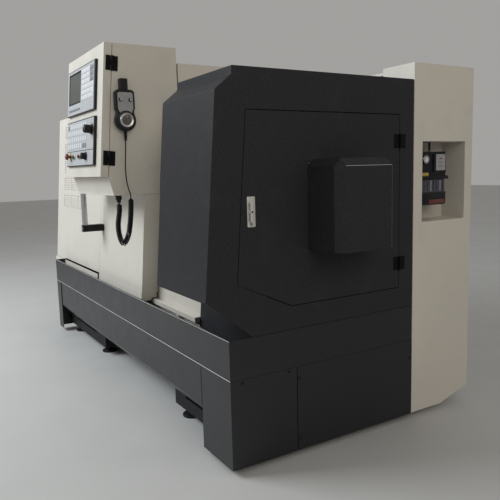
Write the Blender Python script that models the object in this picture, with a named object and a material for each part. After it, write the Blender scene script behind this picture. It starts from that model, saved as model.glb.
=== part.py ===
"""CNC turning lathe with a sliding guard that carries its control cabinet.

Machine coordinates while building: X runs along the bed and is 0 at the right
end face, Y is 0 at the front of the chip pan and grows to the rear, Z is up
from the floor. The last step puts the middle of the footprint at the origin.
"""

import math

import bmesh
import bpy
from mathutils import Matrix, Vector

# Clearances
FIT = 0.0003
SEAM = 0.0025
SHEET = 0.003

# Base: chip pan, leg covers, skirts
BASE_LENGTH = 3.08
BASE_DEPTH = 1.095
PAN_BOTTOM = 0.4366
PAN_TOP = 0.618
PAN_WALL = 0.012
COVER_BOTTOM = 0.03
RIGHT_LEG_WIDTH = 0.2838
LEFT_LEG_WIDTH = 0.12
LEG_RETURN = 0.353
SKIRT_FOLD_Z = 0.237
SKIRT_LOW_Z = 0.170
SKIRT_FOLD_IN = 0.055

# Front incline, shared by the guard, the covers and the lid
INCLINE = math.radians(5.0)
DOOR_PLANE_Y = 0.0909
LID_PLANE_Y = -0.187
CABINET_SEAM_Y = -0.1364
INNER_PLANE_Y = 0.200

# Dark end cover and its door
COVER_WIDTH = 0.5226
COVER_TOP = 1.767
COVER_WALL = 0.018
COVER_LIP_Z = 0.800
COVER_LIP_Y = -0.104
COVER_SHOULDER = (-0.029, 1.668)
COVER_BROW = (0.051, 1.733)
COVER_FOOT_Y = 0.117
DOOR_REAR_Y = BASE_DEPTH - 0.095
DOOR_OUTLINE = ((0.112, 1.594), (0.049, 0.856), (0.332, 0.726), (DOOR_REAR_Y, 0.726), (DOOR_REAR_Y, 1.594))
BULGE_DEPTH = 0.225
BULGE_Y = (0.4255, 0.760)
BULGE_Z = (0.978, 1.383)
BULGE_BEVEL = 0.035
BULGE_WALL = 0.012
DOOR_HINGE_HEIGHTS = (1.464, 0.854)
LATCH_AT = (0.122, 1.166)

# Service column, niche and electrical cabinet
COLUMN_Y = (BASE_DEPTH + 0.003, BASE_DEPTH + 0.447)
COLUMN_DEPTH = 0.220
COLUMN_TOP = 1.850
COLUMN_BOTTOM = 0.030
COLUMN_CHAMFER = (0.219, 0.063)
NICHE_Y = (COLUMN_Y[0] + 0.062, COLUMN_Y[1] - 0.057)
NICHE_Z = (1.052, 1.463)
NICHE_DEPTH = 0.155
CABINET_X = (-1.90, -0.2205)
CABINET_FRONT_Y = BASE_DEPTH + 0.092
CABINET_REAR_Y = COLUMN_Y[1] - 0.006
CABINET_WALL = 0.015
CABINET_DOOR = 0.006
CABINET_BOTTOM = COVER_BOTTOM + 0.120
CABINET_LUG_TOP = 0.230
PUMP_Y = (NICHE_Y[0] + 0.012, NICHE_Y[0] + 0.215)
PUMP_PIPE_Y = NICHE_Y[0] + 0.150
GAUGE_Z = 1.372
PUMP_Z = (1.133, 1.412)
TANK_TOP_Z = 1.268

# Headstock cover, guard, control cabinet
HEADSTOCK_COVER_X = (-3.40, -2.1285)
HEADSTOCK_COVER_TOP = 1.830
COVER_SHEET = 0.015
OVERHANG_Z = 0.500
LOUVRE_COLUMNS = (-3.0975, -2.8825, -2.6675)
LOUVRE_ROWS = (1.705, 1.558, 1.411, 1.264, 1.117)
LOUVRE_SIZE = (0.175, 0.100)
LOUVRE_DEPTH = 0.006
GUARD_X = (-2.125, -1.2557)
GUARD_Z = (0.602, 1.790)
GUARD_SHEET = 0.020
GUARD_STRIP = 0.095
CONTROL_X = (-2.020, -1.2557)
CONTROL_BACK_Y = 0.387
CONTROL_TOP = 2.089
CONTROL_STEP_Z = CONTROL_TOP - 0.344
CONTROL_FLOOR_Z = 1.213
CONTROL_CHIN = ((-0.052, 1.224), (-0.0765, 1.318))
CONTROL_WALL = 0.015
LID_BOTTOM = 1.326
LID_SHELL = 0.012
LID_HEIGHT = CONTROL_TOP - LID_BOTTOM
LID_HINGE_HEIGHTS = (CONTROL_TOP - 0.116, LID_BOTTOM + 0.1065)
INNER_PANEL_X = (-1.42, -0.030)
INNER_PANEL_TOP = CONTROL_STEP_Z - 0.045
ROOF_TOP = 2.000
RAIL_X = (-2.10, -0.66)
RAIL_Y = (0.158, 0.1915)
RAIL_Z = (0.537, 0.565)
RAIL_FEET = (RAIL_X[0] + 0.04, RAIL_X[0] + 0.60, RAIL_X[1] - 0.24)

# Lid furniture: x range, z range as shares of the lid's height
SCREEN_UNIT = ((-1.965, -1.360), (LID_BOTTOM + 0.519 * LID_HEIGHT, LID_BOTTOM + 0.899 * LID_HEIGHT))
SCREEN_GLASS = ((-1.925, -1.660), (LID_BOTTOM + 0.621 * LID_HEIGHT, LID_BOTTOM + 0.864 * LID_HEIGHT))
OPERATOR_PANEL = ((-1.960, -1.347), (LID_BOTTOM + 0.0905 * LID_HEIGHT, LID_BOTTOM + 0.469 * LID_HEIGHT))
GLASS_DEPTH = 0.003
WINDOW_LAP = 0.012
UNIT_PROUD = 0.014
UNIT_SUNK = 0.010
BUTTON_SEAT = 0.006
BUTTON_SOCKET = 0.013

BUTTON_ROW_Z = OPERATOR_PANEL[1][0] + 0.060
PANEL_CONTROLS = {
    "emergency_stop": (-1.852, BUTTON_ROW_Z + 0.002),
    "start_button": (-1.765, BUTTON_ROW_Z),
    "stop_button": (-1.640, BUTTON_ROW_Z),
    "mode_knob": (-1.510, BUTTON_ROW_Z),
    "override_knob": (-1.395, OPERATOR_PANEL[1][1] - 0.074),
}

# Profiles of the turned controls: distance out from the face, radius
MUSHROOM_PROFILE = (
    (0.0, 0.0), (0.0, 0.009), (0.018, 0.009), (0.024, 0.020), (0.034, 0.020), (0.040, 0.015), (0.042, 0.0),
)
CAP_PROFILE = ((0.0, 0.0), (0.0, 0.012), (0.016, 0.012), (0.018, 0.010), (0.018, 0.0))
MODE_PROFILE = (
    (0.0, 0.0), (0.0, 0.026), (0.006, 0.026), (0.008, 0.020), (0.030, 0.018), (0.033, 0.015), (0.033, 0.0),
)
DIAL_PROFILE = (
    (0.0, 0.0), (0.0, 0.032), (0.010, 0.032), (0.012, 0.024), (0.046, 0.022), (0.050, 0.018), (0.050, 0.0),
)
WHEEL_PROFILE = (
    (0.0, 0.0), (0.0, 0.030), (0.003, 0.040), (0.014, 0.041), (0.017, 0.038), (0.014, 0.030), (0.012, 0.014),
    (0.016, 0.012), (0.016, 0.0),
)
SELECTOR_PROFILE = ((0.0, 0.0), (0.0, 0.0105), (0.004, 0.0095), (0.013, 0.0085), (0.015, 0.007), (0.015, 0.0))

# Hinges
HINGE_PIN = 0.0032
HINGE_KNUCKLE = 0.0075
HINGE_LEAF = 0.004
LID_HINGE_SIZE = (0.084, 0.036)
DOOR_HINGE_SIZE = (0.066, 0.038)

# Handle
HANDLE_X = GUARD_X[0] + 0.067
HANDLE_STANDOFF = 0.130
HANDLE_RADIUS = 0.020
HANDLE_Z = (0.985, 1.450)
ARM_HEIGHT = 0.048
ARM_HALF = 0.022
ARM_FOOT_HALF = 0.027
ARM_FOOT_DEPTH = 0.040

# Pendant and its cord
PENDANT_Y = 0.034
PENDANT_DEPTH = 0.034
PENDANT_GAP = 0.012
WHEEL_Z = CONTROL_TOP - 0.441
SELECTOR_Z = WHEEL_Z + 0.116
PENDANT_LOBE = 0.062
PENDANT_HEAD_HALF = 0.058
PENDANT_HEAD_Z = (WHEEL_Z + 0.067, WHEEL_Z + 0.174)
CLIP_HALF = 0.022
CLIP_Z = (WHEEL_Z + 0.052, WHEEL_Z + 0.238)
GLAND_RADIUS = 0.009
GLAND_Z = (WHEEL_Z - 0.0745, WHEEL_Z - 0.048)
SELECTORS = {"axis_selector": -0.029, "rate_selector": 0.029}
CORD_RADIUS = 0.0035
COIL_RADIUS = 0.0165
PLUG_AT = (-1.290, -0.011)
PLUG_BOTTOM = 1.168
COIL_TOP_Z = 1.1965

# The lead hangs from the pendant to the coil: y, and the share of that height
LEAD_X = -1.2357
LEAD_STATIONS = (
    (0.0340, 1.000), (0.0320, 0.885), (0.0290, 0.726), (0.0230, 0.516), (0.0240, 0.314), (0.0330, 0.157),
    (0.0445, 0.056), (0.0445, 0.000),
)
COIL_ROUTE = (
    (LEAD_X, 0.0445, COIL_TOP_Z), (LEAD_X, 0.0440, 1.1550), (-1.2370, 0.0360, 1.0660),
    (-1.2410, 0.0200, 0.9770), (-1.2600, -0.0060, 0.9250), (-1.2790, -0.0220, 0.9720),
    (-1.2870, -0.0240, 1.0400), (-1.2900, -0.0110, 1.1150), (-1.2900, -0.0110, 1.1672),
)

# Bed and spindle
SPINDLE_Y = 0.5845 * BASE_DEPTH
SPINDLE_Z = 1.120
BED_WIDTH = 0.3653 * BASE_DEPTH
BED_X = (-3.020, -0.160)
BED_Y = (SPINDLE_Y - 0.50 * BED_WIDTH, SPINDLE_Y + 0.50 * BED_WIDTH)
BED_TOP = 0.840
BED_FOOT_TOP = 0.600
WAY_START = -2.270
LEFT_FOOT_END = -2.050
RIGHT_FOOT_START = -0.800
V_WAY_Y = SPINDLE_Y - 0.35 * BED_WIDTH
V_WAY_HALF = 0.032
FLAT_WAY_Y = (SPINDLE_Y + 0.25 * BED_WIDTH, SPINDLE_Y + 0.45 * BED_WIDTH)
WAY_TOP = 0.872
HEADSTOCK_X = (-3.020, -2.300)
HEADSTOCK_Y = (SPINDLE_Y - 0.55 * BED_WIDTH, SPINDLE_Y + 0.65 * BED_WIDTH)
HEADSTOCK_TOP = 1.370
SPINDLE_RADIUS = 0.062
NOSE_RADIUS = 0.090
PULLEY_RADIUS = 0.105
CHUCK_RADIUS = 0.125
CHUCK_X = (-2.236, -2.130)
JAW_WIDTH = 0.030
FOOT_RADIUS = 0.055
FOOT_HEIGHT = 0.022
STUD_RADIUS = 0.012
PEDESTAL_BOTTOM = 0.060
PEDESTAL_Y = (0.085, BASE_DEPTH - 0.085)
PEDESTAL_WINDOW_Z = (0.130, 0.360)
FOOT_INSET = 0.065
LEFT_FEET_X = (BED_X[0] + 0.12, LEFT_FOOT_END - 0.12)
RIGHT_FEET_X = (RIGHT_FOOT_START + 0.08, BED_X[1] - 0.08)

# Carriage, tool post, tailstock
SADDLE_X = (-1.430, -1.070)
SADDLE_Y = (INNER_PLANE_Y + 0.070, SPINDLE_Y + 0.725 * BED_WIDTH)
SADDLE_TOP = 0.925
DOVETAIL_HALF = 0.080
DOVETAIL_FLARE = 0.018
DOVETAIL_HEIGHT = 0.024
SLIDE_Y = (INNER_PLANE_Y + 0.080, SPINDLE_Y)
SLIDE_TOP = 0.995
POST_HALF = 0.080
POST_Y = INNER_PLANE_Y + 0.205
POST_TOP = 1.150
TAILSTOCK_X = (-0.620, -0.230)
TAILSTOCK_TOP = 1.225
QUILL_RADIUS = 0.036
QUILL_OUT = 0.060


def clear_scene():
    for old in list(bpy.data.objects):
        bpy.data.objects.remove(old, do_unlink=True)


def paint(name, color, roughness, metallic=0.0):
    """A plain Principled material, shared by every piece with this finish."""
    made = bpy.data.materials.get(name) or bpy.data.materials.new(name)
    made.use_nodes = True
    shader = made.node_tree.nodes["Principled BSDF"]
    shader.inputs["Base Color"].default_value = (*color, 1.0)
    shader.inputs["Roughness"].default_value = roughness
    shader.inputs["Metallic"].default_value = metallic
    return made


def charcoal_paint():
    return paint("charcoal_paint", (0.030, 0.031, 0.035), 0.45)


def cream_paint():
    return paint("cream_paint", (0.62, 0.61, 0.55), 0.42)


def cast_paint():
    return paint("cast_paint", (0.10, 0.13, 0.14), 0.55)


def ground_steel():
    return paint("ground_steel", (0.60, 0.60, 0.60), 0.25, 1.0)


def black_plastic():
    return paint("black_plastic", (0.015, 0.015, 0.018), 0.45)


def place(name, mesh_work, material, smooth=False):
    """Turns a bmesh into a named object with outward faces."""
    bmesh.ops.recalc_face_normals(mesh_work, faces=mesh_work.faces)
    mesh = bpy.data.meshes.new(name)
    mesh_work.to_mesh(mesh)
    mesh_work.free()
    if smooth:
        mesh.shade_smooth()
        mesh.set_sharp_from_angle(angle=math.radians(35))
    mesh.materials.append(material)
    made = bpy.data.objects.new(name, mesh)
    bpy.context.collection.objects.link(made)
    return made


def combine(target, shape, operation):
    """Cuts a bmesh from an object, or fuses it on, with a Boolean modifier."""
    tool = place(f"{target.name}_{operation.lower()}_{len(target.modifiers)}", shape, black_plastic())
    tool.hide_render = True
    tool.display_type = "WIRE"
    boolean = target.modifiers.new(operation.title(), "BOOLEAN")
    boolean.operation = operation
    boolean.object = tool
    return tool


def cut(target, shape):
    return combine(target, shape, "DIFFERENCE")


def fuse(target, shape):
    return combine(target, shape, "UNION")


def prism(outline, axis, low, high):
    """A flat outline extruded along an axis. The outline's two numbers are the other two axes in order."""
    work = bmesh.new()
    order = {"x": lambda a, b: (low, a, b), "y": lambda a, b: (a, low, b), "z": lambda a, b: (a, b, low)}
    along = {"x": Vector((1, 0, 0)), "y": Vector((0, 1, 0)), "z": Vector((0, 0, 1))}
    corners = [work.verts.new(order[axis](a, b)) for a, b in outline]
    face = work.faces.new(corners)
    grown = bmesh.ops.extrude_face_region(work, geom=[face])
    moved = [part for part in grown["geom"] if isinstance(part, bmesh.types.BMVert)]
    bmesh.ops.translate(work, verts=moved, vec=along[axis] * (high - low))
    bmesh.ops.recalc_face_normals(work, faces=work.faces)
    return work


def block(x, y, z):
    return prism([(x[0], y[0]), (x[1], y[0]), (x[1], y[1]), (x[0], y[1])], "z", z[0], z[1])


def merge(target, addition):
    """Copies one bmesh into another, as a separate shell for a many-bodied cutter."""
    spare = bpy.data.meshes.new("spare")
    addition.to_mesh(spare)
    addition.free()
    target.from_mesh(spare)
    bpy.data.meshes.remove(spare)
    return target


def rod(radius, start, end, sides=24, far_radius=None):
    """A cylinder or cone between two points."""
    start, end = Vector(start), Vector(end)
    turn = (end - start).to_track_quat("Z", "Y").to_matrix().to_4x4()
    work = bmesh.new()
    bmesh.ops.create_cone(
        work,
        cap_ends=True,
        segments=sides,
        radius1=radius,
        radius2=radius if far_radius is None else far_radius,
        depth=(end - start).length,
        matrix=Matrix.Translation((start + end) / 2) @ turn,
    )
    return work


def turned(profile, centre, direction, sides=32):
    """A solid of revolution: profile pairs are (distance along, radius), and both ends lie on the axis."""
    work = bmesh.new()
    points = [work.verts.new((radius, 0.0, along)) for along, radius in profile]
    edges = [work.edges.new(pair) for pair in zip(points, points[1:])]
    bmesh.ops.spin(
        work,
        geom=points + edges,
        axis=(0, 0, 1),
        cent=(0, 0, 0),
        steps=sides,
        angle=math.tau,
        use_merge=True,
    )
    bmesh.ops.remove_doubles(work, verts=work.verts, dist=1e-5)
    bmesh.ops.recalc_face_normals(work, faces=work.faces)
    turn = Vector(direction).to_track_quat("Z", "Y").to_matrix().to_4x4()
    bmesh.ops.transform(work, matrix=Matrix.Translation(Vector(centre)) @ turn, verts=work.verts)
    return work


def chamfer(work, amount, wanted, segments=1):
    """Bevels the edges that the test picks, by their two ends."""
    picked = [edge for edge in work.edges if wanted(edge.verts[0].co, edge.verts[1].co)]
    bmesh.ops.bevel(
        work,
        geom=picked,
        offset=amount,
        offset_type="OFFSET",
        segments=segments,
        profile=0.5,
        affect="EDGES",
        material=-1,
    )
    return work


def arc(centre, radius, start, end, count):
    """Points on an arc in degrees, both ends included."""
    step = (end - start) / (count - 1)
    return [
        (
            centre[0] + radius * math.cos(math.radians(start + step * i)),
            centre[1] + radius * math.sin(math.radians(start + step * i)),
        )
        for i in range(count)
    ]


def incline(base_y, z):
    """Y of an inclined front plane that passes through base_y at the top of the pan."""
    return base_y + math.tan(INCLINE) * (z - PAN_TOP)


def sheared(work, base_y):
    """Pushes upright work, built with its front at y = 0, back into an inclined front plane."""
    for corner in work.verts:
        corner.co.y += incline(base_y, corner.co.z)
    return work


def inclined_slab(x, z, base_y, thickness):
    """A slab whose front lies in an inclined plane and whose ends are level."""
    return sheared(block(x, (0.0, thickness), z), base_y)


# Base


def make_chip_pan():
    """Pan with a rim all round, and a floor that the bed's feet stand on."""
    pan = place(
        "chip_pan",
        block((-BASE_LENGTH, 0.0), (0.0, BASE_DEPTH), (PAN_BOTTOM, PAN_TOP)),
        charcoal_paint(),
    )
    inner = block(
        (-BASE_LENGTH + PAN_WALL, -PAN_WALL),
        (PAN_WALL, BASE_DEPTH - PAN_WALL),
        (PAN_BOTTOM + PAN_WALL, PAN_TOP + PAN_WALL),
    )
    cut(pan, inner)


def make_front_skirt():
    """Folded sheet between the legs: upright face, then a flange folded in and down."""
    top = PAN_BOTTOM - FIT
    outline = (
        (0.004, top),
        (0.004, SKIRT_FOLD_Z),
        (0.004 + SKIRT_FOLD_IN, SKIRT_LOW_Z),
        (0.004 + SKIRT_FOLD_IN + SHEET, SKIRT_LOW_Z),
        (0.004 + SHEET * 1.3, SKIRT_FOLD_Z + SHEET * 0.4),
        (0.004 + SHEET * 1.3, top),
    )
    ends = (-BASE_LENGTH + LEFT_LEG_WIDTH + SEAM, -RIGHT_LEG_WIDTH - SEAM)
    place("front_skirt", prism(outline, "x", *ends), charcoal_paint())


def make_leg_cover(name, corner_x, reach, end_return):
    """A sheet folded round a front corner of the base. reach is signed, away from the corner."""
    top = PAN_BOTTOM - FIT
    side = math.copysign(1.0, reach)
    outline = (
        (corner_x, 0.0),
        (corner_x + reach, 0.0),
        (corner_x + reach, SHEET),
        (corner_x + side * SHEET, SHEET),
        (corner_x + side * SHEET, end_return),
        (corner_x, end_return),
    )
    place(name, prism(outline, "z", COVER_BOTTOM, top), charcoal_paint())


def make_base_covers():
    make_leg_cover("right_leg_cover", 0.0, -RIGHT_LEG_WIDTH, LEG_RETURN)
    make_leg_cover("left_leg_cover", -BASE_LENGTH, LEFT_LEG_WIDTH, BASE_DEPTH)
    top = PAN_BOTTOM - FIT
    place(
        "end_lower_panel",
        block((-SHEET, 0.0), (LEG_RETURN + SEAM, BASE_DEPTH), (COVER_BOTTOM, top)),
        charcoal_paint(),
    )
    rear = block(
        (-BASE_LENGTH + SHEET + SEAM, -SHEET - SEAM),
        (BASE_DEPTH - SHEET, BASE_DEPTH),
        (SKIRT_LOW_Z, top),
    )
    place("rear_skirt", rear, charcoal_paint())


def make_pedestal(name, x, feet_x):
    """A cored casting on its levelling feet, with a window through it."""
    pedestal = place(name, block(x, PEDESTAL_Y, (PEDESTAL_BOTTOM, PAN_BOTTOM - FIT)), cast_paint())
    middle = (x[0] + x[1]) / 2
    half = (x[1] - x[0]) * 0.28
    window = ((middle - half, middle + half), (PEDESTAL_Y[0] - 0.01, PEDESTAL_Y[1] + 0.01), PEDESTAL_WINDOW_Z)
    cut(pedestal, block(*window))
    for foot_x in feet_x:
        for foot_y in (PEDESTAL_Y[0] + FOOT_INSET, PEDESTAL_Y[1] - FOOT_INSET):
            foot = (
                (0.0, 0.0),
                (0.0, FOOT_RADIUS),
                (FOOT_HEIGHT * 0.5, FOOT_RADIUS),
                (FOOT_HEIGHT, STUD_RADIUS),
                (PEDESTAL_BOTTOM + 0.01, STUD_RADIUS),
                (PEDESTAL_BOTTOM + 0.01, 0.0),
            )
            fuse(pedestal, turned(foot, (foot_x, foot_y, 0.0), (0, 0, 1), 20))


def make_bed():
    """Cast bed: two feet, a window deck, a V way and a flat way."""
    foot_z = PAN_BOTTOM + PAN_WALL + FIT
    arch = (
        (BED_X[0], foot_z),
        (LEFT_FOOT_END, foot_z),
        (LEFT_FOOT_END, BED_FOOT_TOP),
        (RIGHT_FOOT_START, BED_FOOT_TOP),
        (RIGHT_FOOT_START, foot_z),
        (BED_X[1], foot_z),
        (BED_X[1], BED_TOP),
        (BED_X[0], BED_TOP),
    )
    bed = place("bed", prism(arch, "y", *BED_Y), cast_paint())
    way_base = BED_TOP - 0.02
    v_way = (
        (V_WAY_Y - V_WAY_HALF, way_base),
        (V_WAY_Y + V_WAY_HALF, way_base),
        (V_WAY_Y + V_WAY_HALF, BED_TOP + 0.006),
        (V_WAY_Y + 0.004, WAY_TOP),
        (V_WAY_Y - 0.004, WAY_TOP),
        (V_WAY_Y - V_WAY_HALF, BED_TOP + 0.006),
    )
    fuse(bed, prism(v_way, "x", WAY_START, BED_X[1]))
    fuse(bed, block((WAY_START, BED_X[1]), FLAT_WAY_Y, (way_base, WAY_TOP)))
    count = 5
    pitch = (RIGHT_FOOT_START - LEFT_FOOT_END) / count
    for index in range(count):
        centre = LEFT_FOOT_END + pitch * (index + 0.5)
        chute = block(
            (centre - pitch * 0.36, centre + pitch * 0.36),
            (V_WAY_Y + V_WAY_HALF + 0.02, FLAT_WAY_Y[0] - 0.02),
            (BED_FOOT_TOP - 0.01, BED_TOP + 0.01),
        )
        cut(bed, chute)


# Spindle side


def make_headstock():
    """Cast headstock, bored through for the spindle, with ribs on its front and a stepped foot."""
    shape = block(HEADSTOCK_X, HEADSTOCK_Y, (BED_TOP + FIT, HEADSTOCK_TOP))
    chamfer(shape, 0.03, lambda a, b: a.z > HEADSTOCK_TOP - 0.001 and b.z > HEADSTOCK_TOP - 0.001)
    headstock = place("headstock", shape, cast_paint())
    bore = rod(
        SPINDLE_RADIUS + 0.0005,
        (HEADSTOCK_X[0] - 0.01, SPINDLE_Y, SPINDLE_Z),
        (HEADSTOCK_X[1] + 0.01, SPINDLE_Y, SPINDLE_Z),
        32,
    )
    cut(headstock, bore)


def make_spindle():
    """Turned spindle with its nose flange, and a grooved pulley at the rear."""
    rear = HEADSTOCK_X[0] - 0.145
    profile = [(0.0, 0.0), (0.0, SPINDLE_RADIUS * 0.8), (0.02, SPINDLE_RADIUS * 0.8)]
    grooves = 5
    rib = 0.018
    for index in range(grooves):
        start = 0.02 + index * rib
        profile += [(start, PULLEY_RADIUS), (start + rib * 0.5, PULLEY_RADIUS * 0.9)]
    profile += [
        (0.02 + grooves * rib, PULLEY_RADIUS),
        (0.02 + grooves * rib, SPINDLE_RADIUS),
        (HEADSTOCK_X[1] + 0.006 - rear, SPINDLE_RADIUS),
        (HEADSTOCK_X[1] + 0.006 - rear, NOSE_RADIUS),
        (CHUCK_X[0] - FIT - rear, NOSE_RADIUS),
        (CHUCK_X[0] - FIT - rear, 0.0),
    ]
    work = turned(profile, (rear, SPINDLE_Y, SPINDLE_Z), (1, 0, 0), 32)
    place("spindle", work, ground_steel(), smooth=True)


def around_spindle(work, angle):
    """Turns work about the spindle's axis."""
    centre = Vector((0.0, SPINDLE_Y, SPINDLE_Z))
    turn = Matrix.Translation(centre) @ Matrix.Rotation(angle, 4, "X") @ Matrix.Translation(-centre)
    bmesh.ops.transform(work, matrix=turn, verts=work.verts)
    return work


def make_chuck():
    """Closed-centre three-jaw chuck with a jaw slot every third of a turn, and its stepped jaws."""
    length = CHUCK_X[1] - CHUCK_X[0]
    profile = (
        (0.0, 0.0),
        (0.0, CHUCK_RADIUS - 0.006),
        (0.006, CHUCK_RADIUS),
        (length - 0.008, CHUCK_RADIUS),
        (length, CHUCK_RADIUS - 0.008),
        (length, 0.0),
    )
    chuck = place(
        "chuck",
        turned(profile, (CHUCK_X[0], SPINDLE_Y, SPINDLE_Z), (1, 0, 0), 40),
        ground_steel(),
        smooth=True,
    )
    slot_depth = 0.022
    for index in range(3):
        angle = index * math.tau / 3
        slot = block(
            (CHUCK_X[1] - slot_depth, CHUCK_X[1] + 0.01),
            (SPINDLE_Y - JAW_WIDTH / 2, SPINDLE_Y + JAW_WIDTH / 2),
            (SPINDLE_Z + 0.030, SPINDLE_Z + CHUCK_RADIUS + 0.02),
        )
        cut(chuck, around_spindle(slot, angle))
        back = CHUCK_X[1] - slot_depth + FIT
        steps = (
            (back, SPINDLE_Z + 0.043),
            (back + 0.064, SPINDLE_Z + 0.043),
            (back + 0.064, SPINDLE_Z + 0.068),
            (back + 0.046, SPINDLE_Z + 0.068),
            (back + 0.046, SPINDLE_Z + 0.118),
            (back, SPINDLE_Z + 0.118),
        )
        half = JAW_WIDTH / 2 - FIT
        jaw = prism(steps, "y", SPINDLE_Y - half, SPINDLE_Y + half)
        place(f"chuck_jaw_{index + 1}", around_spindle(jaw, angle), ground_steel())


# Carriage side


def make_saddle():
    """Saddle over both ways, with a dovetail across its top for the cross slide."""
    centre = (SADDLE_X[0] + SADDLE_X[1]) / 2
    bottom = WAY_TOP + FIT
    neck = DOVETAIL_HALF - DOVETAIL_FLARE
    outline = (
        (SADDLE_X[0], bottom),
        (SADDLE_X[1], bottom),
        (SADDLE_X[1], SADDLE_TOP),
        (centre + neck, SADDLE_TOP),
        (centre + DOVETAIL_HALF, SADDLE_TOP + DOVETAIL_HEIGHT),
        (centre - DOVETAIL_HALF, SADDLE_TOP + DOVETAIL_HEIGHT),
        (centre - neck, SADDLE_TOP),
        (SADDLE_X[0], SADDLE_TOP),
    )
    saddle = place("saddle", prism(outline, "y", *SADDLE_Y), cast_paint())
    apron = block(
        (SADDLE_X[0] + 0.03, SADDLE_X[1] - 0.03),
        (SADDLE_Y[0] + 0.01, BED_Y[0] - 0.02),
        (BED_FOOT_TOP + 0.06, bottom + 0.01),
    )
    fuse(saddle, apron)


def make_cross_slide():
    """Slide with a dovetail groove that fits over the saddle's."""
    centre = (SADDLE_X[0] + SADDLE_X[1]) / 2
    half = 0.125
    gap = 0.0005
    neck = DOVETAIL_HALF - DOVETAIL_FLARE + gap
    bottom = SADDLE_TOP + FIT
    groove_top = SADDLE_TOP + DOVETAIL_HEIGHT + gap
    outline = (
        (centre - half, bottom),
        (centre - neck, bottom),
        (centre - DOVETAIL_HALF - gap, groove_top),
        (centre + DOVETAIL_HALF + gap, groove_top),
        (centre + neck, bottom),
        (centre + half, bottom),
        (centre + half, SLIDE_TOP),
        (centre - half, SLIDE_TOP),
    )
    place("cross_slide", prism(outline, "y", *SLIDE_Y), cast_paint())


def make_tool_post():
    """Four-way tool post: a square block with a tool slot along each side and a tool in it."""
    centre = (SADDLE_X[0] + SADDLE_X[1]) / 2
    bottom = SLIDE_TOP + FIT
    post = place(
        "tool_post",
        block(
            (centre - POST_HALF, centre + POST_HALF),
            (POST_Y - POST_HALF, POST_Y + POST_HALF),
            (bottom, POST_TOP),
        ),
        cast_paint(),
    )
    slot_z = (SPINDLE_Z - 0.034, SPINDLE_Z + 0.002)
    shank = 0.026
    spin_about = Vector((centre, POST_Y, 0.0))
    for index in range(4):
        turn = (
            Matrix.Translation(spin_about)
            @ Matrix.Rotation(index * math.pi / 2, 4, "Z")
            @ Matrix.Translation(-spin_about)
        )
        slot = block(
            (centre - POST_HALF - 0.02, centre + POST_HALF + 0.02),
            (POST_Y + POST_HALF - shank, POST_Y + POST_HALF + 0.02),
            slot_z,
        )
        bmesh.ops.transform(slot, matrix=turn, verts=slot.verts)
        cut(post, slot)
        tool = prism(
            (
                (centre - POST_HALF - 0.030, POST_Y + POST_HALF - 0.002),
                (centre - POST_HALF - 0.022, POST_Y + POST_HALF - 0.024),
                (centre + POST_HALF * 0.55, POST_Y + POST_HALF - 0.024),
                (centre + POST_HALF * 0.55, POST_Y + POST_HALF - 0.002),
            ),
            "z",
            slot_z[0] - 0.004,
            slot_z[1] - 0.012,
        )
        bmesh.ops.transform(tool, matrix=turn, verts=tool.verts)
        fuse(post, tool)


def make_tailstock():
    """Tailstock body on the ways, bored for its quill, with the quill's cylinder at the rear."""
    outline = (
        (TAILSTOCK_X[0], WAY_TOP + FIT),
        (TAILSTOCK_X[1], WAY_TOP + FIT),
        (TAILSTOCK_X[1], WAY_TOP + 0.08),
        (TAILSTOCK_X[1] - 0.05, WAY_TOP + 0.13),
        (TAILSTOCK_X[1] - 0.05, TAILSTOCK_TOP),
        (TAILSTOCK_X[0] + 0.02, TAILSTOCK_TOP),
        (TAILSTOCK_X[0] + 0.02, WAY_TOP + 0.13),
        (TAILSTOCK_X[0], WAY_TOP + 0.08),
    )
    half = 0.115
    shape = prism(outline, "y", SPINDLE_Y - half, SPINDLE_Y + half)
    chamfer(shape, 0.035, lambda a, b: min(a.z, b.z) > TAILSTOCK_TOP - 0.001 and abs(a.y - b.y) < 0.001)
    tailstock = place("tailstock", shape, cast_paint())
    foot = block(TAILSTOCK_X, (BED_Y[0], BED_Y[1]), (WAY_TOP + FIT, WAY_TOP + 0.05))
    fuse(tailstock, foot)
    rear = TAILSTOCK_X[1] - 0.06
    fuse(tailstock, rod(0.052, (rear, SPINDLE_Y, SPINDLE_Z), (rear + 0.16, SPINDLE_Y, SPINDLE_Z), 28))
    bore_end = TAILSTOCK_X[0] + 0.26
    cut(
        tailstock,
        rod(
            QUILL_RADIUS + 0.0004,
            (TAILSTOCK_X[0] - 0.01, SPINDLE_Y, SPINDLE_Z),
            (bore_end, SPINDLE_Y, SPINDLE_Z),
            28,
        ),
    )
    front = TAILSTOCK_X[0] + 0.02 - QUILL_OUT
    length = bore_end - 0.01 - front
    centre_point = (
        (-0.055, 0.0),
        (-0.018, 0.019),
        (0.0, 0.019),
        (0.0, QUILL_RADIUS - 0.003),
        (0.003, QUILL_RADIUS),
        (length, QUILL_RADIUS),
        (length, 0.0),
    )
    place(
        "tailstock_quill",
        turned(centre_point, (front, SPINDLE_Y, SPINDLE_Z), (1, 0, 0), 28),
        ground_steel(),
        smooth=True,
    )


# Hinges


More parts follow.
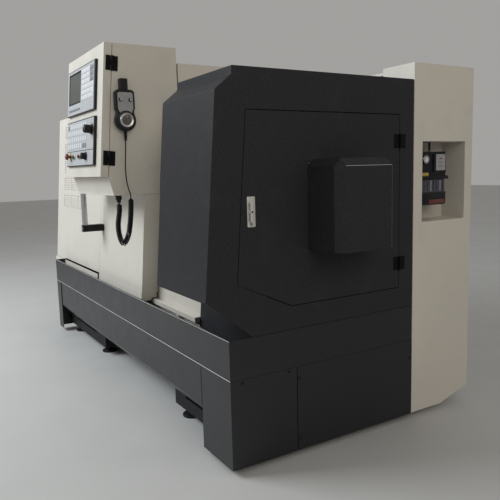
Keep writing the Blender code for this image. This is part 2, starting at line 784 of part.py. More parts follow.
def make_hinge(name, size, pose):
    """A leaf hinge built upright about its pin, then posed: fixed leaf towards +Y, moving leaf towards -Y.

    Each leaf is one profile with its knuckle rolled on, notched where the other's knuckles run. The pin is
    riveted into the fixed leaf's two outer knuckles.
    """
    height, leaf = size
    back = -HINGE_KNUCKLE
    front = back + HINGE_LEAF
    third = height / 6
    run = 0.0008
    meet = math.degrees(math.atan2(math.sqrt(HINGE_KNUCKLE**2 - front**2), front))
    for side, suffix in ((1, "fixed_leaf"), (-1, "moving_leaf")):
        profile = [(back, leaf), (front - 0.0015, leaf), (front, leaf - 0.003)]
        profile += arc((0.0, 0.0), HINGE_KNUCKLE, meet, -180, 14)
        work = prism([(x, y * side) for x, y in profile], "z", -height / 2, height / 2)
        bmesh.ops.transform(work, matrix=pose, verts=work.verts)
        made = place(f"{name}_{suffix}", work, black_plastic())
        free = HINGE_KNUCKLE + run
        if side == 1:
            notches = ((-third, third),)
        else:
            notches = ((-height, -third + run), (third - run, height))
        for low, high in notches:
            across = sorted((-side * 0.02, side * free))
            notch = block((back - 0.01, HINGE_KNUCKLE + 0.01), across, (low, high))
            bmesh.ops.transform(notch, matrix=pose, verts=notch.verts)
            cut(made, notch)
        if side == 1:
            pin = rod(HINGE_PIN, (0, 0, -height / 2 + 0.002), (0, 0, height / 2 - 0.002), 12)
            bmesh.ops.transform(pin, matrix=pose, verts=pin.verts)
            fuse(made, pin)
        else:
            hole = rod(HINGE_PIN + 0.0004, (0, 0, -height), (0, 0, height), 12)
            bmesh.ops.transform(hole, matrix=pose, verts=hole.verts)
            cut(made, hole)


# Right end


def end_cover_outline(inset, low_z):
    """Side outline of the dark cover, set in by its wall on the front and top."""
    return (
        (COVER_FOOT_Y + inset, low_z),
        (COVER_LIP_Y + inset, COVER_LIP_Z),
        (COVER_SHOULDER[0] + inset, COVER_SHOULDER[1] - inset * 0.4),
        (COVER_BROW[0] + inset, COVER_BROW[1] - inset * 0.9),
        (COVER_BROW[0] + inset, COVER_TOP - inset),
        (BASE_DEPTH - inset, COVER_TOP - inset),
        (BASE_DEPTH - inset, low_z),
    )


def make_end_cover():
    """Hood over the right end: sloping front, brow, top, back and end wall; open below and to the left."""
    low = PAN_TOP + FIT
    hood = place(
        "end_cover", prism(end_cover_outline(0.0, low), "x", -COVER_WIDTH, 0.0), charcoal_paint()
    )
    inside = list(end_cover_outline(COVER_WALL, low - 0.05))
    inside[0] = (COVER_LIP_Y + COVER_WALL, low - 0.05)
    cut(hood, prism(inside, "x", -COVER_WIDTH - 0.05, -COVER_WALL))
    cut(hood, prism(DOOR_OUTLINE, "x", -COVER_WALL - 0.01, 0.01))


def shrunk(outline, amount):
    """The outline moved in by an even amount, for a door that fills its opening with a gap."""
    points = [Vector(p) for p in outline]
    centre = sum(points, Vector((0.0, 0.0))) / len(points)
    moved = []
    for index, point in enumerate(points):
        before = (point - points[index - 1]).normalized()
        after = (points[(index + 1) % len(points)] - point).normalized()
        normals = [Vector((-side.y, side.x)) for side in (before, after)]
        normals = [n if n.dot(centre - point) > 0 else -n for n in normals]
        blend = normals[0] + normals[1]
        moved.append(tuple(point + blend * (amount / (1 + normals[0].dot(normals[1])))))
    return moved


def make_end_door():
    """Access door of the dark cover, with the bevelled box that clears the tailstock's cylinder."""
    thick = COVER_WALL - 0.0005
    door = place("end_door", prism(shrunk(DOOR_OUTLINE, SEAM), "x", -thick, 0.0), charcoal_paint())
    bulge = block((-0.002, BULGE_DEPTH), BULGE_Y, BULGE_Z)
    top = BULGE_Z[1] - 0.001
    front = BULGE_DEPTH - 0.001

    def outer_edge(a, b):
        over = min(a.z, b.z) > top and min(a.x, b.x) < front and max(a.x, b.x) > front
        face = min(a.x, b.x) > front and max(a.z, b.z) > BULGE_Z[0] + 0.01
        return over or face or (min(a.z, b.z) > top and min(a.x, b.x) > front)

    chamfer(bulge, BULGE_BEVEL, outer_edge)
    fuse(door, bulge)
    hollow = block(
        (-thick - 0.01, BULGE_DEPTH - BULGE_BEVEL),
        (BULGE_Y[0] + BULGE_WALL, BULGE_Y[1] - BULGE_WALL),
        (BULGE_Z[0] + BULGE_WALL, BULGE_Z[1] - BULGE_WALL),
    )
    cut(door, hollow)
    axis_y = DOOR_OUTLINE[3][0] - SEAM / 2
    for level, height in zip(("upper", "lower"), DOOR_HINGE_HEIGHTS):
        pose = Matrix.Translation(Vector((HINGE_KNUCKLE + FIT, axis_y, height)))
        make_hinge(f"door_hinge_{level}", DOOR_HINGE_SIZE, pose)


def make_latch():
    """Quarter-turn door latch: a thin oblong grip on a round boss."""
    y, z = LATCH_AT
    latch = place("door_latch", rod(0.013, (FIT, y, z), (0.009, y, z), 24), ground_steel())
    grip = block((0.007, 0.020), (y - 0.0105, y + 0.0105), (z - 0.058, z + 0.058))
    chamfer(grip, 0.004, lambda a, b: max(a.x, b.x) > 0.019, 2)
    fuse(latch, grip)


def make_service_column():
    """Narrow column at the rear corner, cut away below at the rear, with a niche for the lubrication pump."""
    y0, y1 = COLUMN_Y
    outline = (
        (y0, COLUMN_BOTTOM),
        (y1 - COLUMN_CHAMFER[0], COLUMN_BOTTOM),
        (y1, COLUMN_BOTTOM + COLUMN_CHAMFER[1]),
        (y1, COLUMN_TOP),
        (y0, COLUMN_TOP),
    )
    column = place("service_column", prism(outline, "x", -COLUMN_DEPTH, 0.0), cream_paint())
    cut(column, block((-NICHE_DEPTH, 0.01), NICHE_Y, NICHE_Z))


def make_electrical_cabinet():
    """Switchgear cabinet along the back: a shell open towards the machine, with two doors on its rear."""
    wall = CABINET_WALL
    depth = (CABINET_FRONT_Y, CABINET_REAR_Y - CABINET_DOOR)
    height = (CABINET_BOTTOM, COLUMN_TOP - 0.002)
    cabinet = place("electrical_cabinet", block(CABINET_X, depth, height), cream_paint())
    room = block(
        (CABINET_X[0] + wall, CABINET_X[1] - wall),
        (depth[0] - wall, depth[1] - wall),
        (height[0] + wall, height[1] - wall),
    )
    cut(cabinet, room)
    middle = (CABINET_X[0] + CABINET_X[1]) / 2
    for left, right in ((CABINET_X[0] + 0.032, middle - 0.010), (middle + 0.010, CABINET_X[1] - 0.032)):
        door_z = (height[0] + 0.042, height[1] - 0.042)
        fuse(cabinet, block((left, right), (depth[1] - wall / 2, CABINET_REAR_Y), door_z))
    lug_x = (CABINET_X[0] + 0.1, CABINET_X[1] - 0.1)
    lug_y = (BASE_DEPTH + FIT, CABINET_FRONT_Y + 0.05)
    fuse(cabinet, block(lug_x, lug_y, (height[0], CABINET_LUG_TOP)))


def make_lubrication_pump():
    """Pump head with its gauge and pipe, and the oil reservoir below it, on the back of the niche."""
    back = -NICHE_DEPTH + FIT
    body = place(
        "lube_pump_head",
        block((back, -0.030), (PUMP_Y[0] + 0.004, PUMP_Y[1] - 0.004), (TANK_TOP_Z + FIT, PUMP_Z[1])),
        black_plastic(),
    )
    plate_y = (PUMP_Y[0] + 0.10, PUMP_Y[1] - 0.012)
    fuse(body, block((-0.034, -0.022), plate_y, (TANK_TOP_Z + 0.038, PUMP_Z[1] - 0.014)))
    gauge_y = PUMP_Y[0] + 0.028
    fuse(body, rod(0.021, (-0.034, gauge_y, GAUGE_Z), (-0.012, gauge_y, GAUGE_Z), 24))
    pipe = ((-0.09, PUMP_PIPE_Y, PUMP_Z[1] - 0.004), (-0.09, PUMP_PIPE_Y, NICHE_Z[1] - FIT))
    fuse(body, rod(0.006, *pipe, 12))
    fuse(body, block((back, -0.020), (PUMP_Y[0], PUMP_Y[1] + 0.006), (TANK_TOP_Z + FIT, TANK_TOP_Z + 0.018)))
    tank = block((back, -0.026), (PUMP_Y[0] + 0.006, PUMP_Y[1] - 0.004), (PUMP_Z[0], TANK_TOP_Z))
    chamfer(tank, 0.012, lambda a, b: abs(a.z - b.z) > 0.05 and a.x > -0.05)
    place("lube_reservoir", tank, paint("reservoir_plastic", (0.10, 0.11, 0.16), 0.25))


# Left and middle covers


def make_headstock_cover():
    """Sheet cover round the headstock end, open below and towards the chuck, with louvred pads in front."""
    x0, x1 = HEADSTOCK_COVER_X
    low = PAN_TOP + FIT
    back = BASE_DEPTH

    def outline(z_low, inset, z_high):
        return (
            (incline(DOOR_PLANE_Y, z_low) + inset, z_low),
            (incline(DOOR_PLANE_Y, z_high) + inset, z_high),
            (back - inset, z_high),
            (back - inset, z_low),
        )

    cover = place(
        "headstock_cover", prism(outline(low, 0.0, HEADSTOCK_COVER_TOP), "x", x0, x1), cream_paint()
    )
    hang = prism(outline(OVERHANG_Z, 0.0, low + 0.02), "x", x0, -BASE_LENGTH - SEAM)
    fuse(cover, hang)
    room = outline(OVERHANG_Z - 0.05, COVER_SHEET, HEADSTOCK_COVER_TOP - COVER_SHEET)
    cut(cover, prism(room, "x", x0 + COVER_SHEET, x1 + 0.01))
    pads = bmesh.new()
    width, height = LOUVRE_SIZE
    for x in LOUVRE_COLUMNS:
        for z in LOUVRE_ROWS:
            pad = inclined_slab(
                (x - width / 2, x + width / 2),
                (z - height / 2, z + height / 2),
                DOOR_PLANE_Y - 0.02,
                0.02 + LOUVRE_DEPTH,
            )
            merge(pads, pad)
    cut(cover, pads)


def make_roof_and_inner_guard():
    """Roof hood with the rear wall below it, fixed inner guard panel, and the rail in front of that."""
    left = HEADSTOCK_COVER_X[1] + SEAM
    hood_low = COVER_TOP - 0.030
    y = (CONTROL_BACK_Y + 0.008, BASE_DEPTH)
    hood = place("roof_hood", block((left, GUARD_X[1]), y, (hood_low, ROOF_TOP)), cream_paint())
    wall = COVER_SHEET
    cut(
        hood,
        block(
            (left + wall, GUARD_X[1] - wall),
            (y[0] + wall, y[1] - wall),
            (hood_low - 0.05, ROOF_TOP - wall),
        ),
    )
    shelf_right = -COVER_WIDTH - SEAM
    fuse(hood, block((GUARD_X[1] - 0.01, shelf_right), y, (COVER_TOP - wall, COVER_TOP)))
    fuse(hood, block((left, shelf_right), (y[1] - wall, y[1]), (PAN_TOP + FIT, COVER_TOP)))
    panel_z = (PAN_BOTTOM + PAN_WALL + FIT, INNER_PANEL_TOP)
    panel = inclined_slab(INNER_PANEL_X, panel_z, INNER_PLANE_Y, COVER_SHEET)
    place("inner_guard_panel", panel, cream_paint())
    rail = place("guard_rail", block(RAIL_X, RAIL_Y, RAIL_Z), ground_steel())
    for foot in RAIL_FEET:
        leg = block(
            (foot - 0.02, foot + 0.02),
            (RAIL_Y[0] + 0.004, incline(INNER_PLANE_Y, PAN_BOTTOM) - 0.001),
            (PAN_BOTTOM + PAN_WALL + FIT, RAIL_Z[0] + 0.004),
        )
        fuse(rail, leg)


def make_guard():
    """Sliding guard: folded front with its right return, a strip for the handle, and shoes on the rail."""
    x0, x1 = GUARD_X
    z0, z1 = GUARD_Z
    lower_top = CONTROL_FLOOR_Z - FIT
    reach = INNER_PLANE_Y - DOOR_PLANE_Y - 0.004
    fold = (
        (x0, 0.0),
        (x1, 0.0),
        (x1, reach),
        (x1 - GUARD_SHEET, reach),
        (x1 - GUARD_SHEET, GUARD_SHEET),
        (x0, GUARD_SHEET),
    )
    guard = place("sliding_guard", sheared(prism(fold, "z", z0, z1), DOOR_PLANE_Y), cream_paint())
    cut(guard, block((x0 + GUARD_STRIP, x1 + 0.1), (-0.1, 0.5), (lower_top, z1 + 0.1)))
    back = incline(INNER_PLANE_Y, RAIL_Z[1]) - 0.001
    for shoe in (x0 + 0.07, x1 - 0.30):
        fuse(guard, block((shoe, shoe + 0.10), (0.100, back), (RAIL_Z[1] + FIT, z0 + 0.03)))


def make_control_cabinet():
    """Cabinet on the guard: sloping chin, open front that the lid closes, and a head that reaches back over
    the inner guard panel."""
    x0, x1 = CONTROL_X
    (chin_y, chin_z), (jaw_y, jaw_z) = CONTROL_CHIN
    rear = INNER_PLANE_Y - 0.012
    outline = (
        (incline(rear, CONTROL_FLOOR_Z), CONTROL_FLOOR_Z),
        (chin_y, CONTROL_FLOOR_Z),
        (chin_y, chin_z),
        (jaw_y, jaw_z),
        (incline(CABINET_SEAM_Y, jaw_z + 0.004), jaw_z + 0.004),
        (incline(CABINET_SEAM_Y, CONTROL_TOP), CONTROL_TOP),
        (CONTROL_BACK_Y, CONTROL_TOP),
        (CONTROL_BACK_Y, CONTROL_STEP_Z),
        (incline(rear, CONTROL_STEP_Z), CONTROL_STEP_Z),
    )
    cabinet = place("control_cabinet", prism(outline, "x", x0, x1), cream_paint())
    wall = CONTROL_WALL
    low, high, step = LID_BOTTOM + wall, CONTROL_TOP - wall, CONTROL_STEP_Z + wall
    room = (
        (incline(rear, low) - wall, low),
        (incline(rear, step) - wall, step),
        (CONTROL_BACK_Y - wall, step),
        (CONTROL_BACK_Y - wall, high),
        (incline(CABINET_SEAM_Y, high) - 0.05, high),
        (incline(CABINET_SEAM_Y, low) - 0.05, low),
    )
    cut(cabinet, prism(room, "x", x0 + wall, x1 - wall))


def lid_pose(height):
    """Upright frame at a height on the lid's leaning hinge line."""
    lean = Matrix.Rotation(-INCLINE, 4, "X")
    y = incline(CABINET_SEAM_Y, height) - SEAM / 2
    return Matrix.Translation(Vector((CONTROL_X[1] + HINGE_KNUCKLE + FIT, y, height))) @ lean


def make_control_lid():
    """Pan-shaped lid with two windows, for the screen unit and the operator panel."""
    x0, x1 = CONTROL_X
    depth = CABINET_SEAM_Y - LID_PLANE_Y - SEAM
    lid = place(
        "control_lid", inclined_slab((x0, x1), (LID_BOTTOM, CONTROL_TOP), LID_PLANE_Y, depth), cream_paint()
    )
    inner = inclined_slab(
        (x0 + LID_SHELL, x1 - LID_SHELL),
        (LID_BOTTOM + LID_SHELL, CONTROL_TOP - LID_SHELL),
        LID_PLANE_Y + LID_SHELL,
        depth + 0.05,
    )
    cut(lid, inner)
    for (wx0, wx1), (wz0, wz1) in (SCREEN_UNIT, OPERATOR_PANEL):
        opening = ((wx0 + WINDOW_LAP, wx1 - WINDOW_LAP), (wz0 + WINDOW_LAP, wz1 - WINDOW_LAP))
        window = inclined_slab(*opening, LID_PLANE_Y - 0.03, 0.07)
        cut(lid, window)
    for level, height in zip(("upper", "lower"), LID_HINGE_HEIGHTS):
        make_hinge(f"lid_hinge_{level}", LID_HINGE_SIZE, lid_pose(height))


def make_lid_units():
    """Screen unit and operator panel: a proud bezel in front, and a body through the lid's window."""
    for name, (x, z) in (("screen_unit", SCREEN_UNIT), ("operator_panel", OPERATOR_PANEL)):
        bezel = inclined_slab(x, z, LID_PLANE_Y - UNIT_PROUD, UNIT_PROUD - FIT)
        unit = place(name, bezel, black_plastic())
        inset = WINDOW_LAP + 0.0005
        neck = inclined_slab(
            (x[0] + inset, x[1] - inset),
            (z[0] + inset, z[1] - inset),
            LID_PLANE_Y - UNIT_PROUD / 2,
            UNIT_PROUD / 2 + LID_SHELL + UNIT_SUNK,
        )
        fuse(unit, neck)
        if name == "screen_unit":
            (gx0, gx1), (gz0, gz1) = SCREEN_GLASS
            recess = 0.01 + GLASS_DEPTH
            cut(unit, inclined_slab((gx0, gx1), (gz0, gz1), LID_PLANE_Y - UNIT_PROUD - 0.01, recess))


def on_panel(x, z, lift=0.0):
    """A point on the operator panel's face, lift metres out from it."""
    y = incline(LID_PLANE_Y - UNIT_PROUD, z)
    normal = Vector((0.0, -math.cos(INCLINE), math.sin(INCLINE)))
    return Vector((x, y, z)) + normal * (lift + FIT)


def make_panel_knob(name, profile):
    """A turned knob that stands on the operator panel."""
    outward = Vector((0.0, -math.cos(INCLINE), math.sin(INCLINE)))
    knob = turned(profile, on_panel(*PANEL_CONTROLS[name]), outward, 24)
    return place(name, knob, black_plastic(), smooth=True)


def make_push_button(name, profile, material):
    """A button whose stem slides in a socket of the operator panel."""
    x, z = PANEL_CONTROLS[name]
    stem = profile[1][1]
    outward = Vector((0.0, -math.cos(INCLINE), math.sin(INCLINE)))
    mouth = on_panel(x, z, 0.01)
    floor = on_panel(x, z, -BUTTON_SOCKET)
    cut(bpy.data.objects["operator_panel"], rod(stem + FIT, floor, mouth, 24))
    sunk = [(along - BUTTON_SEAT if along == 0.0 else along, radius) for along, radius in profile]
    return place(name, turned(sunk, on_panel(x, z), outward, 24), material, smooth=True)


def make_panel_controls():
    red = paint("stop_red", (0.30, 0.02, 0.02), 0.35)
    make_push_button("emergency_stop", MUSHROOM_PROFILE, red)
    make_push_button("start_button", CAP_PROFILE, paint("start_green", (0.03, 0.25, 0.05), 0.35))
    make_push_button("stop_button", CAP_PROFILE, red)
    make_panel_knob("mode_knob", MODE_PROFILE)
    make_panel_knob("override_knob", DIAL_PROFILE)


def make_handle():
    """Pull handle: a round grip held by two black arms that stand on the guard's strip."""
    axis_y = incline(DOOR_PLANE_Y, HANDLE_Z[0]) - HANDLE_STANDOFF
    low, high = HANDLE_Z
    place(
        "handle_grip",
        rod(HANDLE_RADIUS, (HANDLE_X, axis_y, low), (HANDLE_X, axis_y, high), 24),
        paint("brushed_grip", (0.55, 0.55, 0.57), 0.3, 1.0),
        smooth=True,
    )
    ranges = {"lower": (low - ARM_HEIGHT - FIT, low - FIT), "upper": (high + FIT, high + ARM_HEIGHT + FIT)}
    for level, z_range in ranges.items():
        face = incline(DOOR_PLANE_Y, z_range[0]) - FIT
        outline = (
            (HANDLE_X - ARM_HALF, axis_y - ARM_HALF),
            (HANDLE_X + ARM_HALF, axis_y - ARM_HALF),
            (HANDLE_X + ARM_HALF, face - ARM_FOOT_DEPTH * 1.5),
            (HANDLE_X + ARM_FOOT_HALF, face - ARM_FOOT_DEPTH),
            (HANDLE_X + ARM_FOOT_HALF, face),
            (HANDLE_X - ARM_FOOT_HALF, face),
            (HANDLE_X - ARM_FOOT_HALF, face - ARM_FOOT_DEPTH),
            (HANDLE_X - ARM_HALF, face - ARM_FOOT_DEPTH * 1.5),
        )
        place(f"handle_arm_{level}", prism(outline, "z", *z_range), black_plastic())


# Pendant


def pendant_outline():
    """Front outline of the pendant: a squarish head, a waist, and a round lower end about the wheel."""
    corner = 0.022
    head_low, head_top = PENDANT_HEAD_Z
    left, right = PENDANT_Y - PENDANT_HEAD_HALF, PENDANT_Y + PENDANT_HEAD_HALF
    points = arc((right - corner, head_top - corner), corner, 0, 90, 5)
    points += arc((left + corner, head_top - corner), corner, 90, 180, 5)
    points += [(left, head_low), (left + 0.008, head_low - 0.018)]
    points += arc((PENDANT_Y, WHEEL_Z), PENDANT_LOBE, 150, 390, 17)
    points += [(right - 0.008, head_low - 0.018), (right, head_low)]
    return points


def make_pendant():
    """Hand pendant on its clip: shell, handwheel with a rim and a crank peg, and two selector knobs."""
    wall_x = CONTROL_X[1]
    back = wall_x + PENDANT_GAP
    front = back + PENDANT_DEPTH
    shell = prism(pendant_outline(), "x", back, front)
    chamfer(shell, 0.004, lambda a, b: min(a.x, b.x) > front - 0.001)
    pendant = place("pendant", shell, black_plastic())
    gland_x = back + 0.008
    fuse(pendant, rod(GLAND_RADIUS, (gland_x, PENDANT_Y, GLAND_Z[0]), (gland_x, PENDANT_Y, GLAND_Z[1]), 12))
    clip = place(
        "pendant_clip",
        block((wall_x + FIT, back - FIT), (PENDANT_Y - CLIP_HALF, PENDANT_Y + CLIP_HALF), CLIP_Z),
        black_plastic(),
    )
    hook_z = (PENDANT_HEAD_Z[1] + 0.0005, CLIP_Z[1])
    fuse(clip, block((back - 0.004, front - 0.008), (PENDANT_Y - CLIP_HALF, PENDANT_Y + CLIP_HALF), hook_z))
    place(
        "pendant_wheel",
        turned(WHEEL_PROFILE, (front + FIT, PENDANT_Y, WHEEL_Z), (1, 0, 0), 36),
        ground_steel(),
        smooth=True,
    )
    for name, offset in SELECTORS.items():
        place(
            name,
            turned(SELECTOR_PROFILE, (front + FIT, PENDANT_Y + offset, SELECTOR_Z), (1, 0, 0), 20),
            black_plastic(),
            smooth=True,
        )


def smooth_path(route, spacing):
    """Points at an even spacing along a smooth curve through the route's own points."""
    points = [Vector(p) for p in route]
    ends = [points[0] * 2 - points[1]] + points + [points[-1] * 2 - points[-2]]
    fine = []
    for a, b, c, d in zip(ends, ends[1:], ends[2:], ends[3:]):
        for step in range(24):
            t = step / 24
            bend = (2 * a - 5 * b + 4 * c - d) * t**2 + (3 * b - a - 3 * c + d) * t**3
            fine.append(0.5 * (2 * b + (c - a) * t + bend))
    fine.append(points[-1])
    lengths = [(q - p).length for p, q in zip(fine, fine[1:])]
    count = max(2, round(sum(lengths) / spacing))
    kept, walked, wanted = [fine[0]], 0.0, sum(lengths) / count
    for (p, q), length in zip(zip(fine, fine[1:]), lengths):
        while walked + length > wanted * len(kept) and len(kept) < count:
            kept.append(p.lerp(q, (wanted * len(kept) - walked) / length))
        walked += length
    return kept + [fine[-1]]


def make_cord(name, route, radius, spacing):
    """A plain tube along a smooth curve through the route."""
    curve = bpy.data.curves.new(name, "CURVE")
    curve.dimensions = "3D"
    curve.bevel_depth = radius
    curve.bevel_resolution = 2
    curve.use_fill_caps = True
    path = smooth_path(route, spacing)
    spline = curve.splines.new("POLY")
    spline.points.add(len(path) - 1)
    for point, place_at in zip(spline.points, path):
        point.co = (*place_at, 1.0)
    curve.materials.append(black_plastic())
    made = bpy.data.objects.new(name, curve)
    bpy.context.collection.objects.link(made)
    return made


def make_pendant_cord():
    """The pendant's lead, its curly stretch as one fat tube, and the plug under the control cabinet."""
    drop = GLAND_Z[0] - 2 * FIT - COIL_TOP_Z
    lead = [(LEAD_X, y, COIL_TOP_Z + FIT + drop * share) for y, share in LEAD_STATIONS]
    make_cord("pendant_lead", lead, CORD_RADIUS, 0.018)
    make_cord("pendant_coil", COIL_ROUTE, COIL_RADIUS, 0.030)
    x, y = PLUG_AT
    top = CONTROL_FLOOR_Z - FIT
    height = top - PLUG_BOTTOM
    profile = ((0.0, 0.0), (0.0, 0.012), (0.016, 0.014), (0.020, 0.020), (height, 0.020), (height, 0.0))
    place("pendant_plug", turned(profile, (x, y, PLUG_BOTTOM), (0, 0, 1), 20), black_plastic(), smooth=True)


def hang(name, pivot, carrier=None):
    """Puts a piece's origin on its joint's axis, and parents it to the piece that carries it."""
    piece = bpy.data.objects[name]
    pivot = Vector(pivot)
    piece.data.transform(Matrix.Translation(-pivot))
    piece.data.update()
    piece.location = pivot
    bpy.context.view_layer.update()
    if carrier:
        piece.parent = bpy.data.objects[carrier]
        piece.matrix_parent_inverse = piece.parent.matrix_world.inverted()


def hang_moving_pieces():
    """Gives every moving piece its axis and its carrier, carriers first."""
    hang("sliding_guard", (GUARD_X[0], RAIL_Y[0], RAIL_Z[1]))
    handle = ("handle_grip", "handle_arm_lower", "handle_arm_upper")
    leaves = ("lid_hinge_upper_fixed_leaf", "lid_hinge_lower_fixed_leaf")
    for name in ("control_cabinet", *handle, *leaves, "pendant_clip", "pendant", "pendant_plug"):
        hang(name, (0.0, 0.0, 0.0), "sliding_guard")
    lid_axis = lid_pose(LID_BOTTOM).translation
    hang("control_lid", lid_axis, "sliding_guard")
    leaves = ("lid_hinge_upper_moving_leaf", "lid_hinge_lower_moving_leaf")
    for name in (*leaves, "screen_unit", "operator_panel"):
        hang(name, lid_axis, "control_lid")
    for name, (x, z) in PANEL_CONTROLS.items():
        hang(name, on_panel(x, z), "control_lid")
    face = CONTROL_X[1] + PENDANT_GAP + PENDANT_DEPTH
    hang("pendant_wheel", (face, PENDANT_Y, WHEEL_Z), "pendant")
    for name, offset in SELECTORS.items():
        hang(name, (face, PENDANT_Y + offset, SELECTOR_Z), "pendant")
    door_axis = (HINGE_KNUCKLE + FIT, DOOR_OUTLINE[3][0] - SEAM / 2, DOOR_HINGE_HEIGHTS[1])
    hang("end_door", door_axis)
    for name in ("door_hinge_upper_moving_leaf", "door_hinge_lower_moving_leaf"):
        hang(name, door_axis, "end_door")
    hang("door_latch", (0.0, *LATCH_AT), "end_door")
    hang("spindle", (CHUCK_X[0], SPINDLE_Y, SPINDLE_Z))
    hang("chuck", (CHUCK_X[0], SPINDLE_Y, SPINDLE_Z), "spindle")
    for index in range(3):
        hang(f"chuck_jaw_{index + 1}", (CHUCK_X[1], SPINDLE_Y, SPINDLE_Z), "chuck")
    centre = (SADDLE_X[0] + SADDLE_X[1]) / 2
    hang("saddle", (centre, V_WAY_Y, WAY_TOP))
    hang("cross_slide", (centre, POST_Y, SADDLE_TOP), "saddle")
    hang("tool_post", (centre, POST_Y, SLIDE_TOP), "cross_slide")
    hang("tailstock", (TAILSTOCK_X[0], SPINDLE_Y, WAY_TOP))
    hang("tailstock_quill", (TAILSTOCK_X[0], SPINDLE_Y, SPINDLE_Z), "tailstock")


def centre_on_floor():
    """Moves every piece together, so that the middle of the footprint is the origin."""
    bpy.context.view_layer.update()
    graph = bpy.context.evaluated_depsgraph_get()
    low, high = Vector((math.inf,) * 3), Vector((-math.inf,) * 3)
    for piece in [o for o in bpy.data.objects if not o.hide_render]:
        shown = piece.evaluated_get(graph)
        for corner in shown.to_mesh().vertices:
            spot = shown.matrix_world @ corner.co
            low = Vector(map(min, low, spot))
            high = Vector(map(max, high, spot))
        shown.to_mesh_clear()
    middle = Vector(((low.x + high.x) / 2, (low.y + high.y) / 2, low.z))
    origin = bpy.data.objects.new("machine_origin", None)
    bpy.context.collection.objects.link(origin)
    origin.location = -middle
    for piece in bpy.data.objects:
        if piece is not origin and piece.parent is None:
            piece.parent = origin


def main():
    clear_scene()
    make_chip_pan()
    make_front_skirt()
    make_base_covers()
    make_pedestal("left_pedestal", (BED_X[0], LEFT_FOOT_END), LEFT_FEET_X)
    make_pedestal("right_pedestal", (RIGHT_FOOT_START, BED_X[1]), RIGHT_FEET_X)
    make_bed()
    make_headstock()
    make_spindle()
    make_chuck()
    make_saddle()
    make_cross_slide()
    make_tool_post()
    make_tailstock()
    make_end_cover()
    make_end_door()
    make_latch()
    make_service_column()
    make_electrical_cabinet()
    make_lubrication_pump()
    make_headstock_cover()
    make_roof_and_inner_guard()
    make_guard()
    make_control_cabinet()
    make_control_lid()
    make_lid_units()
    make_panel_controls()
    make_handle()
    make_pendant()
    make_pendant_cord()
    hang_moving_pieces()
    centre_on_floor()


main()
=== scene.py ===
"""Finishes and fine parts of a CNC turning lathe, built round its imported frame.

Machine coordinates are used for every place below: X is 0 at the right end of the chip pan, Y is 0 at its
front face, and Z is up from the floor. DATUM moves them into the frame's own coordinates.
"""

from math import cos, pi, radians, sin, sqrt, tan, tau

import bmesh
import bpy
from bpy.props import BoolProperty, FloatProperty, FloatVectorProperty, IntProperty, PointerProperty
from mathutils import Matrix, Vector


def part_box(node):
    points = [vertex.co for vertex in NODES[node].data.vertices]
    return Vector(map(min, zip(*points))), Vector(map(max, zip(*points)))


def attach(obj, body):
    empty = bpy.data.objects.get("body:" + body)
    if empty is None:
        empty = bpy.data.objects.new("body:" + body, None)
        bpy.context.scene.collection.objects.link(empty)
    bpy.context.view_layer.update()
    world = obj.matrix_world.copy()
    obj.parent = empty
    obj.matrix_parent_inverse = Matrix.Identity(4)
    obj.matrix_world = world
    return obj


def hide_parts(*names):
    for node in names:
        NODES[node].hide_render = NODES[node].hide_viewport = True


bl_info = {
    "name": "Turning Lathe",
    "version": (1, 0, 0),
    "blender": (4, 5, 0),
    "location": "View3D > Sidebar > Lathe",
    "description": "Paints and dresses a turning lathe with a sliding guard",
    "category": "Object",
}

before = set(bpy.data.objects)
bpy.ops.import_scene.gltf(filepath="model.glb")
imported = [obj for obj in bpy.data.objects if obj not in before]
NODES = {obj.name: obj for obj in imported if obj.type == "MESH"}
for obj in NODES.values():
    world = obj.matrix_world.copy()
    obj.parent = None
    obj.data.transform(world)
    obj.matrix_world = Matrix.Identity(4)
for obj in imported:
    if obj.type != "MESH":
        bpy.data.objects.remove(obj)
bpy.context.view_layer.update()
PAN_LOW, PAN_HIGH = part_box("chip_pan")
DATUM = Vector((PAN_HIGH.x, PAN_LOW.y, 0))

INCLINE = radians(5.0)
PROUD = 0.0004
BAND_TOP = PAN_HIGH.z
GUARD_FOOT = 0.602
APRON_FOOT = BAND_TOP - 0.06


def near(node):
    """A node's lowest and highest corners in machine coordinates."""
    low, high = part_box(node)
    return low - DATUM, high - DATUM


def centre_of(node):
    low, high = near(node)
    return (low + high) / 2


SCREEN_LOW, SCREEN_HIGH = near("screen_unit")
PANEL_LOW, PANEL_HIGH = near("operator_panel")
SCREEN_FRONT = (SCREEN_LOW.y, SCREEN_LOW.z)
PANEL_FRONT = (PANEL_LOW.y, PANEL_LOW.z)
PENDANT_LOW, PENDANT_HIGH = near("pendant")
WHEEL = centre_of("pendant_wheel")
CHUCK_FACE = near("chuck")[1].x
SPINDLE = centre_of("chuck")


def leaning_y(front_low, z):
    """Y of a front plane that leans back from front_low, a point's (y, z)."""
    return front_low[0] + tan(INCLINE) * (z - front_low[1])


# Settings that a user would change


